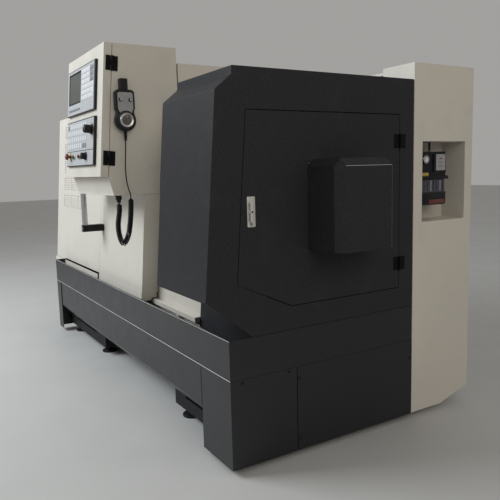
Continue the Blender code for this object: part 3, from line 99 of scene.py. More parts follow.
class LatheStageSettings(bpy.types.PropertyGroup):
    lens: FloatProperty(name="Lens", description="Focal length, 36 mm sensor", default=42.3, unit="CAMERA")
    eye: FloatVectorProperty(
        name="Eye", description="Where the camera stands, in machine coordinates",
        default=(2.1315, -1.1725, 1.3428), subtype="XYZ", unit="LENGTH",
    )
    yaw: FloatProperty(name="Yaw", description="Turn left of +Y", default=radians(58.8308), subtype="ANGLE")
    pitch: FloatProperty(name="Pitch", description="Upward tilt", default=radians(-7.7587), subtype="ANGLE")
    roll: FloatProperty(name="Roll", description="Sideways lean", default=radians(-1.5621), subtype="ANGLE")
    key_power: FloatProperty(name="Key", description="Power of the window light", default=385.0, unit="POWER")
    fill_power: FloatProperty(name="Fill", description="Power of the fill light", default=66.0, unit="POWER")
    sky: FloatProperty(name="Sky", description="Strength of the even light all round", default=0.36)
    floor_color: FloatVectorProperty(
        name="Floor", description="Colour of the floor", default=(0.52, 0.52, 0.51), subtype="COLOR"
    )


class LathePaintSettings(bpy.types.PropertyGroup):
    cream: FloatVectorProperty(
        name="Cream", description="Colour of the guards", default=(0.605, 0.572, 0.51), subtype="COLOR"
    )
    charcoal: FloatVectorProperty(
        name="Charcoal", description="End cover's colour", default=(0.0295, 0.0292, 0.0325), subtype="COLOR"
    )
    base: FloatVectorProperty(
        name="Base", description="Colour of pan and skirts", default=(0.0068, 0.0071, 0.0095), subtype="COLOR"
    )
    casting: FloatVectorProperty(
        name="Casting", description="Colour of painted castings", default=(0.1, 0.13, 0.14), subtype="COLOR"
    )
    orange_peel: FloatProperty(
        name="Orange Peel", description="Depth of the grain", default=0.0006, unit="LENGTH", precision=5
    )
    edge: FloatProperty(
        name="Edge", description="Rounding of folded sheet edges", default=0.003, unit="LENGTH", precision=4
    )


class LatheTrimSettings(bpy.types.PropertyGroup):
    screw_head: FloatProperty(
        name="Screw Head", description="Radius of a screw's head", default=0.0065, unit="LENGTH", precision=4
    )
    blades: IntProperty(name="Louvre Blades", description="Blades in each pad", default=6, min=2, max=12)
    cord_diameter: FloatProperty(
        name="Cord", description="Thickness of the pendant's cord", default=0.0065, unit="LENGTH", precision=4
    )
    coil_pitch: FloatProperty(
        name="Coil Pitch", description="Spacing of the turns, in cord thicknesses", default=1.08, min=1.02
    )
    key_rows: IntProperty(name="Key Rows", description="Key rows at the screen", default=6, min=2)
    key_columns: IntProperty(name="Key Columns", description="Key columns at the screen", default=7, min=2)
    worn: BoolProperty(name="Worn", description="Dust and rubbed patches in the paint", default=True)


# Materials


def noise_of(material, scale, detail=3.0, stretch=(1.0, 1.0, 1.0)):
    """A noise on the object's own coordinates, stretched if asked."""
    nodes, links = material.node_tree.nodes, material.node_tree.links
    source = nodes.new("ShaderNodeTexCoord")
    mapping = nodes.new("ShaderNodeMapping")
    mapping.inputs["Scale"].default_value = stretch
    links.new(source.outputs["Object"], mapping.inputs["Vector"])
    noise = nodes.new("ShaderNodeTexNoise")
    noise.inputs["Scale"].default_value = scale
    noise.inputs["Detail"].default_value = detail
    links.new(mapping.outputs["Vector"], noise.inputs["Vector"])
    return noise.outputs["Fac"]


def ramp_of(material, factor, *stops):
    """A ramp between two stops, each a (place, colour) pair."""
    ramp = material.node_tree.nodes.new("ShaderNodeValToRGB")
    for element, (place, color) in zip(ramp.color_ramp.elements, stops):
        element.position = place
        element.color = (*color, 1.0)
    material.node_tree.links.new(factor, ramp.inputs["Fac"])
    return ramp.outputs["Color"]


def grey(value):
    return (value, value, value)


def scaled(color, factor):
    return tuple(min(channel * factor, 1.0) for channel in color)


def new_finish(
    key, name, color, roughness, metallic=0, vary=0.06, patch=3.0, smear=0.08, specular=0.5, grain=None,
    stretch=(1, 1, 1),
):
    """A finish with patchy colour, smeared gloss and, if asked, a (scale, depth) surface grain."""
    made = bpy.data.materials.new(name)
    made.use_nodes = True
    nodes, links = made.node_tree.nodes, made.node_tree.links
    shader = nodes["Principled BSDF"]
    shader.inputs["Metallic"].default_value = metallic
    shader.inputs["Specular IOR Level"].default_value = specular
    patches = noise_of(made, patch, 4.0, stretch)
    tone = ramp_of(made, patches, (0.32, scaled(color, 1 - vary)), (0.68, scaled(color, 1 + vary)))
    links.new(tone, shader.inputs["Base Color"])
    gloss = noise_of(made, patch * 5, 3.0, stretch)
    rough = ramp_of(made, gloss, (0.3, grey(max(roughness - smear, 0.04))), (0.7, grey(roughness + smear)))
    links.new(rough, shader.inputs["Roughness"])
    if grain:
        bump = nodes.new("ShaderNodeBump")
        bump.inputs["Strength"].default_value = 1.0
        bump.inputs["Distance"].default_value = grain[1]
        links.new(noise_of(made, grain[0], 2.0, stretch), bump.inputs["Height"])
        links.new(bump.outputs["Normal"], shader.inputs["Normal"])
    FINISHES[key] = made
    return made


def add_scuffs(material, color, amount):
    """Faint rubbed and dusty patches over a paint, at two sizes."""
    nodes, links = material.node_tree.nodes, material.node_tree.links
    base = nodes["Principled BSDF"].inputs["Base Color"]
    mix = nodes.new("ShaderNodeMix")
    mix.data_type = "RGBA"
    patches = ramp_of(material, noise_of(material, 7.0, 8.0), (0.56, grey(0)), (0.74, grey(amount)))
    links.new(patches, mix.inputs["Factor"])
    links.new(base.links[0].from_socket, mix.inputs["A"])
    mix.inputs["B"].default_value = (*color, 1.0)
    links.new(mix.outputs["Result"], base)


FINISHES = {}


# Finishes by name: material, colour, roughness, metallic share, how much the colour varies and how finely,
# then how much the gloss varies, how specular it is, its grain and how that is stretched
PLAIN_FINISHES = {
    # Near-black paint on the pedestals, darker than the casting, that paints the shade under the machine
    "underframe": ("underframe_black", (0.006, 0.006, 0.007), 0.62, 0, 0.15, 14, 0.08, 0.25, (120, 0.0006)),
    "black": ("black_plastic", (0.0085, 0.0085, 0.01), 0.44, 0, 0.15, 30, 0.08, 0.25, (900, 0.00015)),
    "hinge": ("hinge_black", (0.003, 0.003, 0.0036), 0.6, 0, 0.15, 30, 0.08, 0.12, (700, 0.0002)),
    "rubber": ("cord_rubber", (0.0075, 0.0075, 0.0085), 0.5, 0, 0.06, 60, 0.08, 0.22, (900, 0.0001)),
    "steel": ("ground_steel", (0.56, 0.56, 0.57), 0.27, 1, 0.08, 40, 0.08, 0.5, (500, 0.0001), (1, 12, 12)),
    "brushed": ("brushed_steel", (0.6, 0.6, 0.62), 0.3, 1, 0.07, 60, 0.08, 0.5, (700, 0.0001), (9, 9, 1)),
    "glass": ("screen_glass", (0.055, 0.06, 0.055), 0.1, 0, 0.25, 6, 0.03),
    "zinc": ("zinc_screw", (0.42, 0.42, 0.43), 0.38, 1.0, 0.1, 80),
    "nickel": ("latch_nickel", (0.66, 0.65, 0.61), 0.32, 0.45, 0.05, 50),
    "disc": ("wheel_disc", (0.11, 0.095, 0.085), 0.4, 0.3, 0.1, 40),
    # Blackened screws, and also painted shade in the sockets of the bright screws
    "dark_screw_and_shade": ("blackened_screw", (0.02, 0.02, 0.022), 0.42, 0.6, 0.06, 80),
    # Black for printed marks and the gauge needle, and painted shade in screw sockets, the keyhole and the
    # base's gaps
    "slot_dark": ("slot_dark", (0.006, 0.006, 0.007), 0.65, 0, 0.1, 30),
    # Pale lines that paint highlights along sheet edges
    "worn_edge": ("worn_edge", (0.6, 0.6, 0.61), 0.35, 0, 0.12, 5),
    "membrane": ("silver_membrane", (0.42, 0.43, 0.445), 0.38, 0, 0.03, 8),
    "key": ("pale_key", (0.62, 0.63, 0.65), 0.42, 0, 0.04, 30),
    "dark_key": ("grey_key", (0.2, 0.21, 0.23), 0.42, 0, 0.06, 30),
    "label": ("grey_label", (0.3, 0.305, 0.315), 0.48, 0, 0.05, 30),
    "red": ("stop_red", (0.15, 0.018, 0.016), 0.32, 0, 0.08, 40),
    "green": ("start_green", (0.03, 0.1, 0.04), 0.32, 0, 0.08, 40),
    "yellow": ("collar_yellow", (0.42, 0.31, 0.06), 0.4, 0, 0.06, 40),
    "white": ("white_mark", (0.7, 0.7, 0.7), 0.45, 0, 0.03, 40),
    "reservoir": ("reservoir_plastic", (0.052, 0.054, 0.074), 0.28, 0, 0.15, 12),
    "oil_red": ("reservoir_red", (0.13, 0.026, 0.022), 0.3, 0, 0.12, 20),
}


def make_finishes(paint, trim):
    """Every finish of the machine, by its plain name."""
    peel = paint.orange_peel
    new_finish("cream", "cream_paint", paint.cream, 0.4, vary=0.03, patch=1.3, grain=(420, peel * 0.35))
    new_finish(
        "charcoal", "charcoal_paint", paint.charcoal, 0.46, vary=0.12, patch=90, grain=(260, peel),
        specular=0.09,
    )
    new_finish(
        "base", "base_paint", paint.base, 0.36, vary=0.08, patch=2.0, smear=0.03, grain=(380, peel * 0.6),
        specular=0.52,
    )
    new_finish("casting", "casting_paint", paint.casting, 0.5, vary=0.1, grain=(90, peel * 1.5))
    if trim.worn:
        add_scuffs(FINISHES["cream"], scaled(paint.cream, 0.8), 0.3)
        add_scuffs(FINISHES["charcoal"], (0.06, 0.058, 0.056), 0.18)
    for key, look in PLAIN_FINISHES.items():
        new_finish(key, *look)


# Modelling helpers


def facing(origin, across, upward):
    """A matrix whose X runs across, Y upward and Z outward from a face, at a point of the machine."""
    across, upward = Vector(across).normalized(), Vector(upward).normalized()
    outward = across.cross(upward)
    turn = Matrix((across, upward, outward)).transposed().to_4x4()
    return Matrix.Translation(Vector(origin)) @ turn


def end_face(y, z, x=0):
    """A face that looks along +X."""
    return facing((x, y, z), (0, 1, 0), (0, 0, 1))


def rear_face(x, z, y):
    """A face that looks along +Y."""
    return facing((x, y, z), (-1, 0, 0), (0, 0, 1))


def raised(work, thick):
    """Gives flat faces a thickness along Z."""
    grown = bmesh.ops.extrude_face_region(work, geom=list(work.faces))
    top = [part for part in grown["geom"] if isinstance(part, bmesh.types.BMVert)]
    bmesh.ops.translate(work, vec=(0, 0, thick), verts=top)
    return work


def rounded_off(work, geom, amount, segments=2, affect="EDGES", clamp=False):
    """Rounds the given edges or corners."""
    bmesh.ops.bevel(
        work, geom=geom, offset=amount, offset_type="OFFSET", segments=segments, profile=0.5, affect=affect,
        material=-1, clamp_overlap=clamp,
    )
    return work


def rounded_plate(width, height, thick, corner=0, edge=0, steps=4):
    """A plate centred on the origin and standing on the plane Z = 0, with rounded corners and front edges."""
    work = bmesh.new()
    bmesh.ops.create_grid(work, x_segments=1, y_segments=1, size=0.5)
    bmesh.ops.scale(work, vec=(width, height, 1.0), verts=work.verts)
    if corner > 0:
        rounded_off(work, list(work.verts), corner, steps, "VERTICES")
    raised(work, thick)
    bmesh.ops.recalc_face_normals(work, faces=work.faces)
    if edge > 0:
        rim = [e for e in work.edges if min(v.co.z for v in e.verts) > thick - 1e-6]
        rim = [e for e in rim if len(e.link_faces) == 2 and e.calc_face_angle(0) > 0.5]
        rounded_off(work, rim, edge)
    return work


def cylinder(radius, low, high, sides=32):
    """A cylinder along Z."""
    work = bmesh.new()
    bmesh.ops.create_cone(
        work, cap_ends=True, segments=sides, radius1=radius, radius2=radius, depth=high - low,
        matrix=shift(0, 0, (low + high) / 2),
    )
    return work


def turned(profile, sides=48):
    """A solid of revolution about Z, from (along, radius) pairs. An end off the axis is left open there."""
    work = bmesh.new()
    points = [work.verts.new((radius, 0, along)) for along, radius in profile]
    edges = [work.edges.new(pair) for pair in zip(points, points[1:])]
    bmesh.ops.spin(
        work, geom=points + edges, axis=(0, 0, 1), cent=(0, 0, 0), steps=sides, angle=tau, use_merge=True
    )
    bmesh.ops.remove_doubles(work, verts=work.verts, dist=1e-6)
    return work


def sweep_outline(outline, low, high):
    """A closed outline in X and Y, extruded along Z."""
    work = bmesh.new()
    work.faces.new([work.verts.new((x, y, low)) for x, y in outline])
    return raised(work, high - low)


def bevelled(work, amount, segments=2, sharper_than=0.5):
    """Rounds every edge that turns more than the given angle."""
    bmesh.ops.recalc_face_normals(work, faces=work.faces)
    picked = [e for e in work.edges if len(e.link_faces) == 2 and e.calc_face_angle(0) > sharper_than]
    return rounded_off(work, picked, amount, segments, clamp=True)


def bar(x, y, z, edge=0):
    """A box between pairs of limits, with rounded edges if asked."""
    work = bmesh.new()
    low, high = (Vector(corner) for corner in zip(x, y, z))
    place = Matrix.Translation((low + high) / 2) @ Matrix.Diagonal((*(high - low), 1.0))
    bmesh.ops.create_cube(work, size=1.0, matrix=place)
    return bevelled(work, edge) if edge > 0 else work


def ray(along, width, z, edge=0):
    """A bar that points away from the origin along X."""
    return bar(along, (-width / 2, width / 2), z, edge)


def shift(x, y, z):
    """A move without a turn."""
    return Matrix.Translation((x, y, z))


def turned_by(angle):
    """A turn about a face's own outward line."""
    return Matrix.Rotation(angle, 4, "Z")


def arc(centre, radius, start, end, count):
    """Points on an arc in degrees, both ends included."""
    angles = [radians(start + (end - start) * step / (count - 1)) for step in range(count)]
    return [(centre[0] + radius * cos(a), centre[1] + radius * sin(a)) for a in angles]


def placed(name, data):
    """A new object in the scene."""
    made = bpy.data.objects.new(name, data)
    bpy.context.collection.objects.link(made)
    return made


class Piece:
    """Shapes in several finishes, gathered into one object that rides on a body."""

    def __init__(self, name):
        self.name = name
        self.work = bmesh.new()
        self.finishes = []

    def add(self, shape, finish_name, place=Matrix.Identity(4)):
        bmesh.ops.transform(shape, matrix=place, verts=shape.verts)
        bmesh.ops.recalc_face_normals(shape, faces=shape.faces)
        if finish_name not in self.finishes:
            self.finishes.append(finish_name)
        index = self.finishes.index(finish_name)
        for face in shape.faces:
            face.material_index = index
            face.smooth = True
        spare = bpy.data.meshes.new("spare")
        shape.to_mesh(spare)
        shape.free()
        self.work.from_mesh(spare)
        bpy.data.meshes.remove(spare)
        return self

    def finish(self, body, slot, *stands_for):
        bmesh.ops.translate(self.work, vec=DATUM, verts=self.work.verts)
        mesh = bpy.data.meshes.new(self.name)
        self.work.to_mesh(mesh)
        self.work.free()
        mesh.set_sharp_from_angle(angle=radians(32))
        for name in self.finishes:
            mesh.materials.append(FINISHES[name])
        made = placed(self.name, mesh)
        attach(made, body)
        if stands_for:
            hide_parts(*stands_for)
        return made


# A screw head's outline in shares of its radius, from the face out and down into its socket
SCREW_HEAD = ((0, 1.0), (0.25, 1.0), (0.48, 0.86), (0.6, 0.6), (0.6, 0.42), (0.22, 0.4), (0.22, 0))


def add_screw(piece, place, radius, metal="dark_screw_and_shade", socket_shade="slot_dark"):
    """A domed screw with a hex socket, standing on a face, with a dark hex at the socket's floor that paints
    the shade in the socket.
    """
    piece.add(turned([(radius * along, radius * reach) for along, reach in SCREW_HEAD], 20), metal, place)
    piece.add(cylinder(radius * 0.4, radius * 0.221, radius * 0.225, 6), socket_shade, place)


def soften(name, width, segments=2):
    """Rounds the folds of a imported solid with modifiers, and leaves its own mesh as it is."""
    node = NODES[name]
    weld = node.modifiers.new("Join", "WELD")
    weld.merge_threshold = 0.00001
    rounding = node.modifiers.new("Folds", "BEVEL")
    rounding.width = width
    rounding.segments = segments
    rounding.limit_method = "ANGLE"
    rounding.angle_limit = radians(28)
    rounding.use_clamp_overlap = True
    rounding.harden_normals = True


def repaint(name, finish_name):
    materials = NODES[name].data.materials
    materials.clear()
    materials.append(FINISHES[finish_name])


def on_front(front, x, z, lift=0):
    """A leaning front face at x and z, lifted outward."""
    outward = Vector((0, -cos(INCLINE), sin(INCLINE)))
    spot = Vector((x, leaning_y(front, z), z)) + outward * lift
    return facing(spot, (1, 0, 0), (0, sin(INCLINE), cos(INCLINE)))


def inset(span, amount):
    """A pair of limits drawn in at both ends."""
    return span[0] + amount, span[1] - amount


def plate_on(piece, front, x, z, thick, finish_name, corner=0.002, lift=PROUD, edge=0):
    """A rounded plate between two pairs of limits on a leaning front."""
    shape = rounded_plate(x[1] - x[0], (z[1] - z[0]) / cos(INCLINE), thick, corner, edge)
    piece.add(shape, finish_name, on_front(front, sum(x) / 2, sum(z) / 2, lift))


def windowed_plate(x, z, window_x, window_z, thick):
    """A plate for a leaning front, about its own middle, with one window in it."""
    columns = [value - sum(x) / 2 for value in (x[0], *window_x, x[1])]
    rows = [(value - sum(z) / 2) / cos(INCLINE) for value in (z[0], *window_z, z[1])]
    work = bmesh.new()
    bmesh.ops.create_grid(work, x_segments=3, y_segments=3, size=1.5)
    opening = [face for face in work.faces if face.calc_center_median().length < 0.1]
    bmesh.ops.delete(work, geom=opening, context="FACES")
    for corner in work.verts:
        corner.co.x = columns[round(corner.co.x + 1.5)]
        corner.co.y = rows[round(corner.co.y + 1.5)]
    return raised(work, thick)


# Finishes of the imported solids

SLOTS = {
    "cream": (
        "sliding_guard", "inner_guard_panel", "headstock_cover", "roof_hood", "control_cabinet",
        "control_lid", "service_column", "electrical_cabinet", "guard_rail",
    ),
    "charcoal": ("end_cover", "end_door"),
    "base": (
        "chip_pan", "front_skirt", "rear_skirt", "left_leg_cover", "right_leg_cover", "end_lower_panel",
    ),
    # The pedestals take the near-black underframe paint, which paints the shade under the machine
    "underframe": ("left_pedestal", "right_pedestal"),
    "casting": ("bed", "headstock", "saddle", "cross_slide", "tool_post", "tailstock"),
    "steel": ("spindle", "chuck", "chuck_jaw_1", "chuck_jaw_2", "chuck_jaw_3", "tailstock_quill"),
    "black": (
        "screen_unit", "operator_panel", "pendant", "pendant_clip", "handle_arm_lower", "handle_arm_upper",
        "lube_pump_head", "pendant_plug",
    ),
    "hinge": tuple(
        f"{group}_hinge_{level}_{leaf}_leaf"
        for group in ("lid", "door")
        for level in ("upper", "lower")
        for leaf in ("fixed", "moving")
    ),
    "reservoir": ("lube_reservoir",),
}

# How much of the sheet edge's rounding each finish takes
SHEET_EDGES = {
    "cream": 0.75,
    "charcoal": 1.0,
    "base": 1.0,
    "casting": 1.3,
    "underframe": 1.3,
    "black": 0.4,
    "hinge": 0.15,
    "reservoir": 1.3,
}


class LATHE_OT_finishes(bpy.types.Operator):
    """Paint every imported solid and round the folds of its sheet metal"""

    bl_idname = "lathe.finishes"
    bl_label = "Finishes"

    def execute(self, context):
        paint = context.scene.lathe_paint
        make_finishes(paint, context.scene.lathe_trim)
        for finish_name, names in SLOTS.items():
            for name in names:
                repaint(name, finish_name)
                if finish_name in SHEET_EDGES:
                    soften(name, SHEET_EDGES[finish_name] * paint.edge)
        return {"FINISHED"}


def fit_louvres(trim):
    """Slanting blades in the recessed pads of the headstock cover."""
    width, height, depth = 0.171, 0.1, 0.0056
    cover = near("headstock_cover")[0]
    pitch = (height - 0.008) / trim.blades
    profile = (
        (-pitch * 0.44, 0), (-pitch * 0.44, depth * 0.9), (-pitch * 0.3, depth), (pitch * 0.02, depth * 0.55),
        (pitch * 0.3, 0),
    )
    turn = Matrix(((0, 0, 1), (1, 0, 0), (0, 1, 0))).to_4x4()
    piece = Piece("louvre_blades")
    for x in (-3.0975, -2.8825, -2.6675):
        for z in (1.705, 1.558, 1.411, 1.264, 1.117):
            pad = on_front((cover.y, cover.z), x, z, -0.0058)
            for index in range(trim.blades):
                rise = shift(0, (index - (trim.blades - 1) / 2) * pitch, 0)
                piece.add(sweep_outline(profile, -width / 2, width / 2), "cream", pad @ rise @ turn)
    piece.finish("base", "cream_paint")


def fit_screws(trim):
    """Cover screws along the end, the base and the fixed guard."""
    piece = Piece("cover_screws")
    for y, z in ((0.061, 0.42), (0.31, 0.422), (0.367, 0.379), (0.369, 0.088), (1.082, 0.34)):
        add_screw(piece, end_face(y, z, PROUD), trim.screw_head)
    inner = near("inner_guard_panel")[0]
    for x in (-1.066, -0.915):
        place = on_front((inner.y, inner.z), x, 0.668, PROUD)
        add_screw(piece, place, trim.screw_head * 0.8, "zinc", "dark_screw_and_shade")
    piece.finish("base", "black_plastic")


def fit_aprons():
    """Thin aprons that carry the front covers down behind the pan's band, and the inner guard's dark end."""
    thick = 0.001
    height = (APRON_FOOT, GUARD_FOOT + 0.008)
    for node, body in (("headstock_cover", "base"), ("sliding_guard", "guard")):
        low, high = near(node)
        piece = Piece(f"{node}_apron")
        plate_on(piece, (low.y, GUARD_FOOT), inset((low.x, high.x), 0.0005), height, thick, "cream", 0)
        if body == "guard":
            side = (high.x + PROUD, high.x + PROUD + thick)
            piece.add(bar(side, (low.y - 0.002, 0.15), height), "cream")
            piece.add(bar(side, (0.15, 0.186), (GUARD_FOOT - 0.03, height[1])), "cream")
        piece.finish(body, "cream_paint")
    low, high = near("inner_guard_panel")
    piece = Piece("inner_end_plate")
    span, height = (low.x + 0.755, high.x - 0.002), (low.z + 0.004, high.z - 0.01)
    plate_on(piece, (low.y, low.z), span, height, thick, "charcoal", 0)
    piece.finish("base", "charcoal_paint")


def fit_seams():
    """Pale lines that paint highlights on the edges of the pan's band, and dark strips that paint the shade
    in the gaps under it and beside the leg cover.
    """
    leg = near("right_leg_cover")[0].x
    skirt = near("front_skirt")[0]
    seam = PAN_LOW.z
    piece = Piece("base_seam_highlights_and_shade")
    # The two pale strips paint highlights on the band's lower and upper edges; the dark strip paints the
    # shade under the band's lower edge
    strips = (
        (seam + 0.0002, seam + 0.0034, "worn_edge"),
        (BAND_TOP - 0.0024, BAND_TOP - 0.0006, "worn_edge"),
        (seam - 0.0042, seam - 0.0004, "slot_dark"),
    )
    for low, high, finish_name in strips:
        piece.add(bar((PAN_LOW.x - DATUM.x + 0.002, -0.002), (-0.0009, -PROUD), (low, high)), finish_name)
    # A dark strip paints the shade in the gap beside the leg cover
    gap = (leg - 0.0048, leg - 0.0002)
    piece.add(bar(gap, (-0.0006, skirt.y - PROUD), (skirt.z + 0.07, seam - 0.0044)), "slot_dark")
    piece.finish("base", "base_paint")


def fit_rear_doors(trim):
    """Locks, vent slats and corner screws on the switchgear cabinet's two rear doors."""
    low, high = near("electrical_cabinet")
    middle, rear = (low.x + high.x) / 2, high.y + PROUD
    piece = Piece("cabinet_rear_fittings")
    for side in (-1, 1):
        for z in inset((low.z, high.z), 0.45):
            place = rear_face(middle + side * 0.055, z, rear)
            piece.add(rounded_plate(0.034, 0.08, 0.002, 0.008, 0.0006), "black", place)
            piece.add(cylinder(0.011, 0.0018, 0.0034, 24), "zinc", place)
        centre = middle + side * (high.x - low.x) / 4
        for row in range(9):
            slat = bar((-0.11, 0.11), (-0.004, 0.004), (0, 0.003), 0.001)
            piece.add(slat, "cream", rear_face(centre, low.z + 0.3 + row * 0.026, rear))
        for x in (centre - 0.36, centre + 0.36):
            for z in inset((low.z, high.z), 0.09):
                add_screw(piece, rear_face(x, z, rear), trim.screw_head, "zinc", "dark_screw_and_shade")
    piece.finish("base", "cream_paint")


class LATHE_OT_covers(bpy.types.Operator):
    """Fit the louvre blades, the cover screws and the small fittings of the sheet metal"""

    bl_idname = "lathe.covers"
    bl_label = "Cover Fittings"

    def execute(self, context):
        trim = context.scene.lathe_trim
        fit_louvres(trim)
        fit_screws(trim)
        fit_aprons()
        fit_seams()
        fit_rear_doors(trim)
        return {"FINISHED"}


def add_key(piece, front, x, z, shade, thick=0.003, corner=0.0022):
    """A low key with softened edges."""
    plate_on(piece, front, x, z, thick, shade, corner, edge=0.0007)


def add_keys(piece, trim, x, z):
    """A field of low keys, with one tall key at its lower right."""
    across, up, gap = (x[1] - x[0]) / trim.key_columns, (z[1] - z[0]) / trim.key_rows, 0.0022
    for column in range(trim.key_columns):
        for row in range(trim.key_rows):
            tall = column == trim.key_columns - 1 and row < 2
            if tall and row == 1:
                continue
            left, low = x[0] + column * across, z[0] + row * up
            high = low + (2 * up if tall else up)
            shade = "dark_key" if column >= trim.key_columns - 2 and row > 2 else "key"
            add_key(piece, SCREEN_FRONT, inset((left, left + across), gap), inset((low, high), gap), shade)


def add_soft_keys(piece, x, z, count=7):
    """Keys in a row under the display."""
    pitch = (x[1] - x[0]) / count
    for index in range(count):
        left = x[0] + index * pitch
        span = inset((left, left + pitch), 0.005)
        add_key(piece, SCREEN_FRONT, span, (z - 0.008, z + 0.008), "dark_key", corner=0.002)


class LATHE_OT_screen(bpy.types.Operator):
    """Dress the screen unit: silver fascia, framed display, soft keys and the key field"""

    bl_idname = "lathe.screen"
    bl_label = "Screen Unit"

    def execute(self, context):
        glass_x, glass_z = (-1.925, -1.66), (1.8, 1.985)
        border, margin, rebate = 0.006, 0.007, 0.004
        x, z = (SCREEN_LOW.x + border, SCREEN_HIGH.x - 0.016), inset((SCREEN_LOW.z, SCREEN_HIGH.z), border)
        piece = Piece("screen_fascia")
        fascia = windowed_plate(x, z, inset(glass_x, -margin), inset(glass_z, -margin), 0.001)
        piece.add(fascia, "membrane", on_front(SCREEN_FRONT, sum(x) / 2, sum(z) / 2, PROUD))
        glass = inset(glass_x, rebate), inset(glass_z, rebate)
        plate_on(piece, SCREEN_FRONT, *glass, 0.0012, "glass", 0.001, -0.0026)
        field = (glass_x[1] + 0.022, x[1] - 0.01), (glass_z[0] - 0.002, z[1] - 0.016)
        add_keys(piece, context.scene.lathe_trim, *field)
        add_soft_keys(piece, glass_x, z[0] + 0.028)
        piece.finish("lid", "panel_grey")
        return {"FINISHED"}


def spot(node):
    """The point (x, z) of the panel's face where a control stands."""
    middle = centre_of(node)
    reach = leaning_y(PANEL_FRONT, middle.z) - middle.y
    return middle.x, middle.z - reach * sin(INCLINE) * cos(INCLINE)


def add_lower_strip(piece, x, z, sockets):
    """The lower strip of the fascia, in pieces that leave the push buttons' sockets free."""
    reach, left, plates = 0.0155, x[0], []
    for across, up in sockets:
        gap = (across - reach, across + reach)
        plates += [((left, gap[0]), z), (gap, (z[0], up - reach)), (gap, (up + reach, z[1]))]
        left = gap[1]
    for span, height in (*plates, ((left, x[1]), z)):
        plate_on(piece, PANEL_FRONT, span, height, 0.001, "membrane", 0)


def add_key_grid(piece):
    """Square keys with a small lamp on each, left of the override dial."""
    for row in range(4):
        for column in range(9):
            x, z = PANEL_LOW.x + 0.05 + column * 0.048, PANEL_HIGH.z - 0.036 - row * 0.042
            shade = "dark_key" if (row, column) in ((3, 7), (3, 8), (0, 0)) else "key"
            add_key(piece, PANEL_FRONT, (x - 0.016, x + 0.016), (z - 0.014, z + 0.014), shade, 0.0032, 0.0025)
            place = on_front(PANEL_FRONT, x - 0.01, z + 0.009, 0.0035)
            piece.add(cylinder(0.0016, 0, 0.0009, 12), "red" if row else "green", place)


def add_dial_marks(piece, node, radius, count, sweep):
    """Short bars on an arc about a knob."""
    place = on_front(PANEL_FRONT, *spot(node), 0.0013)
    for index in range(count):
        angle = radians(90 + sweep / 2 - sweep * index / (count - 1))
        length = 0.004 if index % 3 else 0.006
        piece.add(ray((radius, radius + length), 0.0012, (0, 0.0006)), "slot_dark", place @ turned_by(angle))


def make_mushroom(stop):
    """Dished mushroom head on its stem, with a pale ring."""
    place = on_front(PANEL_FRONT, *stop)
    head = turned((
        (-0.004, 0), (-0.004, 0.0087), (0.018, 0.0087), (0.0205, 0.015), (0.0225, 0.0192), (0.025, 0.0203),
        (0.0335, 0.02), (0.0375, 0.018), (0.04, 0.014), (0.0412, 0.008), (0.0414, 0),
    ))
    ring = turned(((0.0398, 0.0105), (0.0408, 0.0115), (0.0402, 0.0128), (0.0396, 0.0116)), 40)
    piece = Piece("stop_mushroom").add(head, "red", place).add(ring, "white", place)
    piece.finish("emergency_stop", "stop_red", "emergency_stop")


def make_cap(node, finish_name, slot_name):
    """Domed push-button cap with a concave face."""
    profile = (
        (-0.004, 0), (-0.004, 0.0117), (0.015, 0.0117), (0.0168, 0.0112), (0.0176, 0.01), (0.0172, 0.0085),
        (0.0162, 0.005), (0.016, 0),
    )
    piece = Piece(f"{node}_cap").add(turned(profile, 40), finish_name, on_front(PANEL_FRONT, *spot(node)))
    piece.finish(node, slot_name, node)


def make_knob(node, skirt, height):
    """Fluted knob on a skirt, with a white pointer."""
    place = on_front(PANEL_FRONT, *spot(node), PROUD)
    grip, flutes = skirt * 0.74, 12
    base = turned(((0, 0), (0, skirt), (0.0035, skirt), (0.0075, skirt * 0.93), (0.0095, grip), (0.0095, 0)))
    outline = []
    for index in range(flutes * 6):
        angle = index * tau / (flutes * 6)
        radius = grip * (1.0 + 0.045 * cos(angle * flutes))
        outline.append((radius * cos(angle), radius * sin(angle)))
    fluted = bevelled(sweep_outline(outline, 0.0088, height - PROUD), 0.0012, 2, 1.0)
    pointer = bar((-0.0011, 0.0011), (grip * 0.15, grip * 0.92), (height - 0.0012, height + 0.0002))
    skirt_mark = bar((-0.001, 0.001), (grip * 1.06, skirt * 0.97), (0.0055, 0.0098))
    piece = Piece(f"{node}_grip").add(base, "black", place).add(fluted, "black", place)
    piece.add(pointer, "white", place).add(skirt_mark, "white", place)
    piece.finish(node, "black_plastic", node)


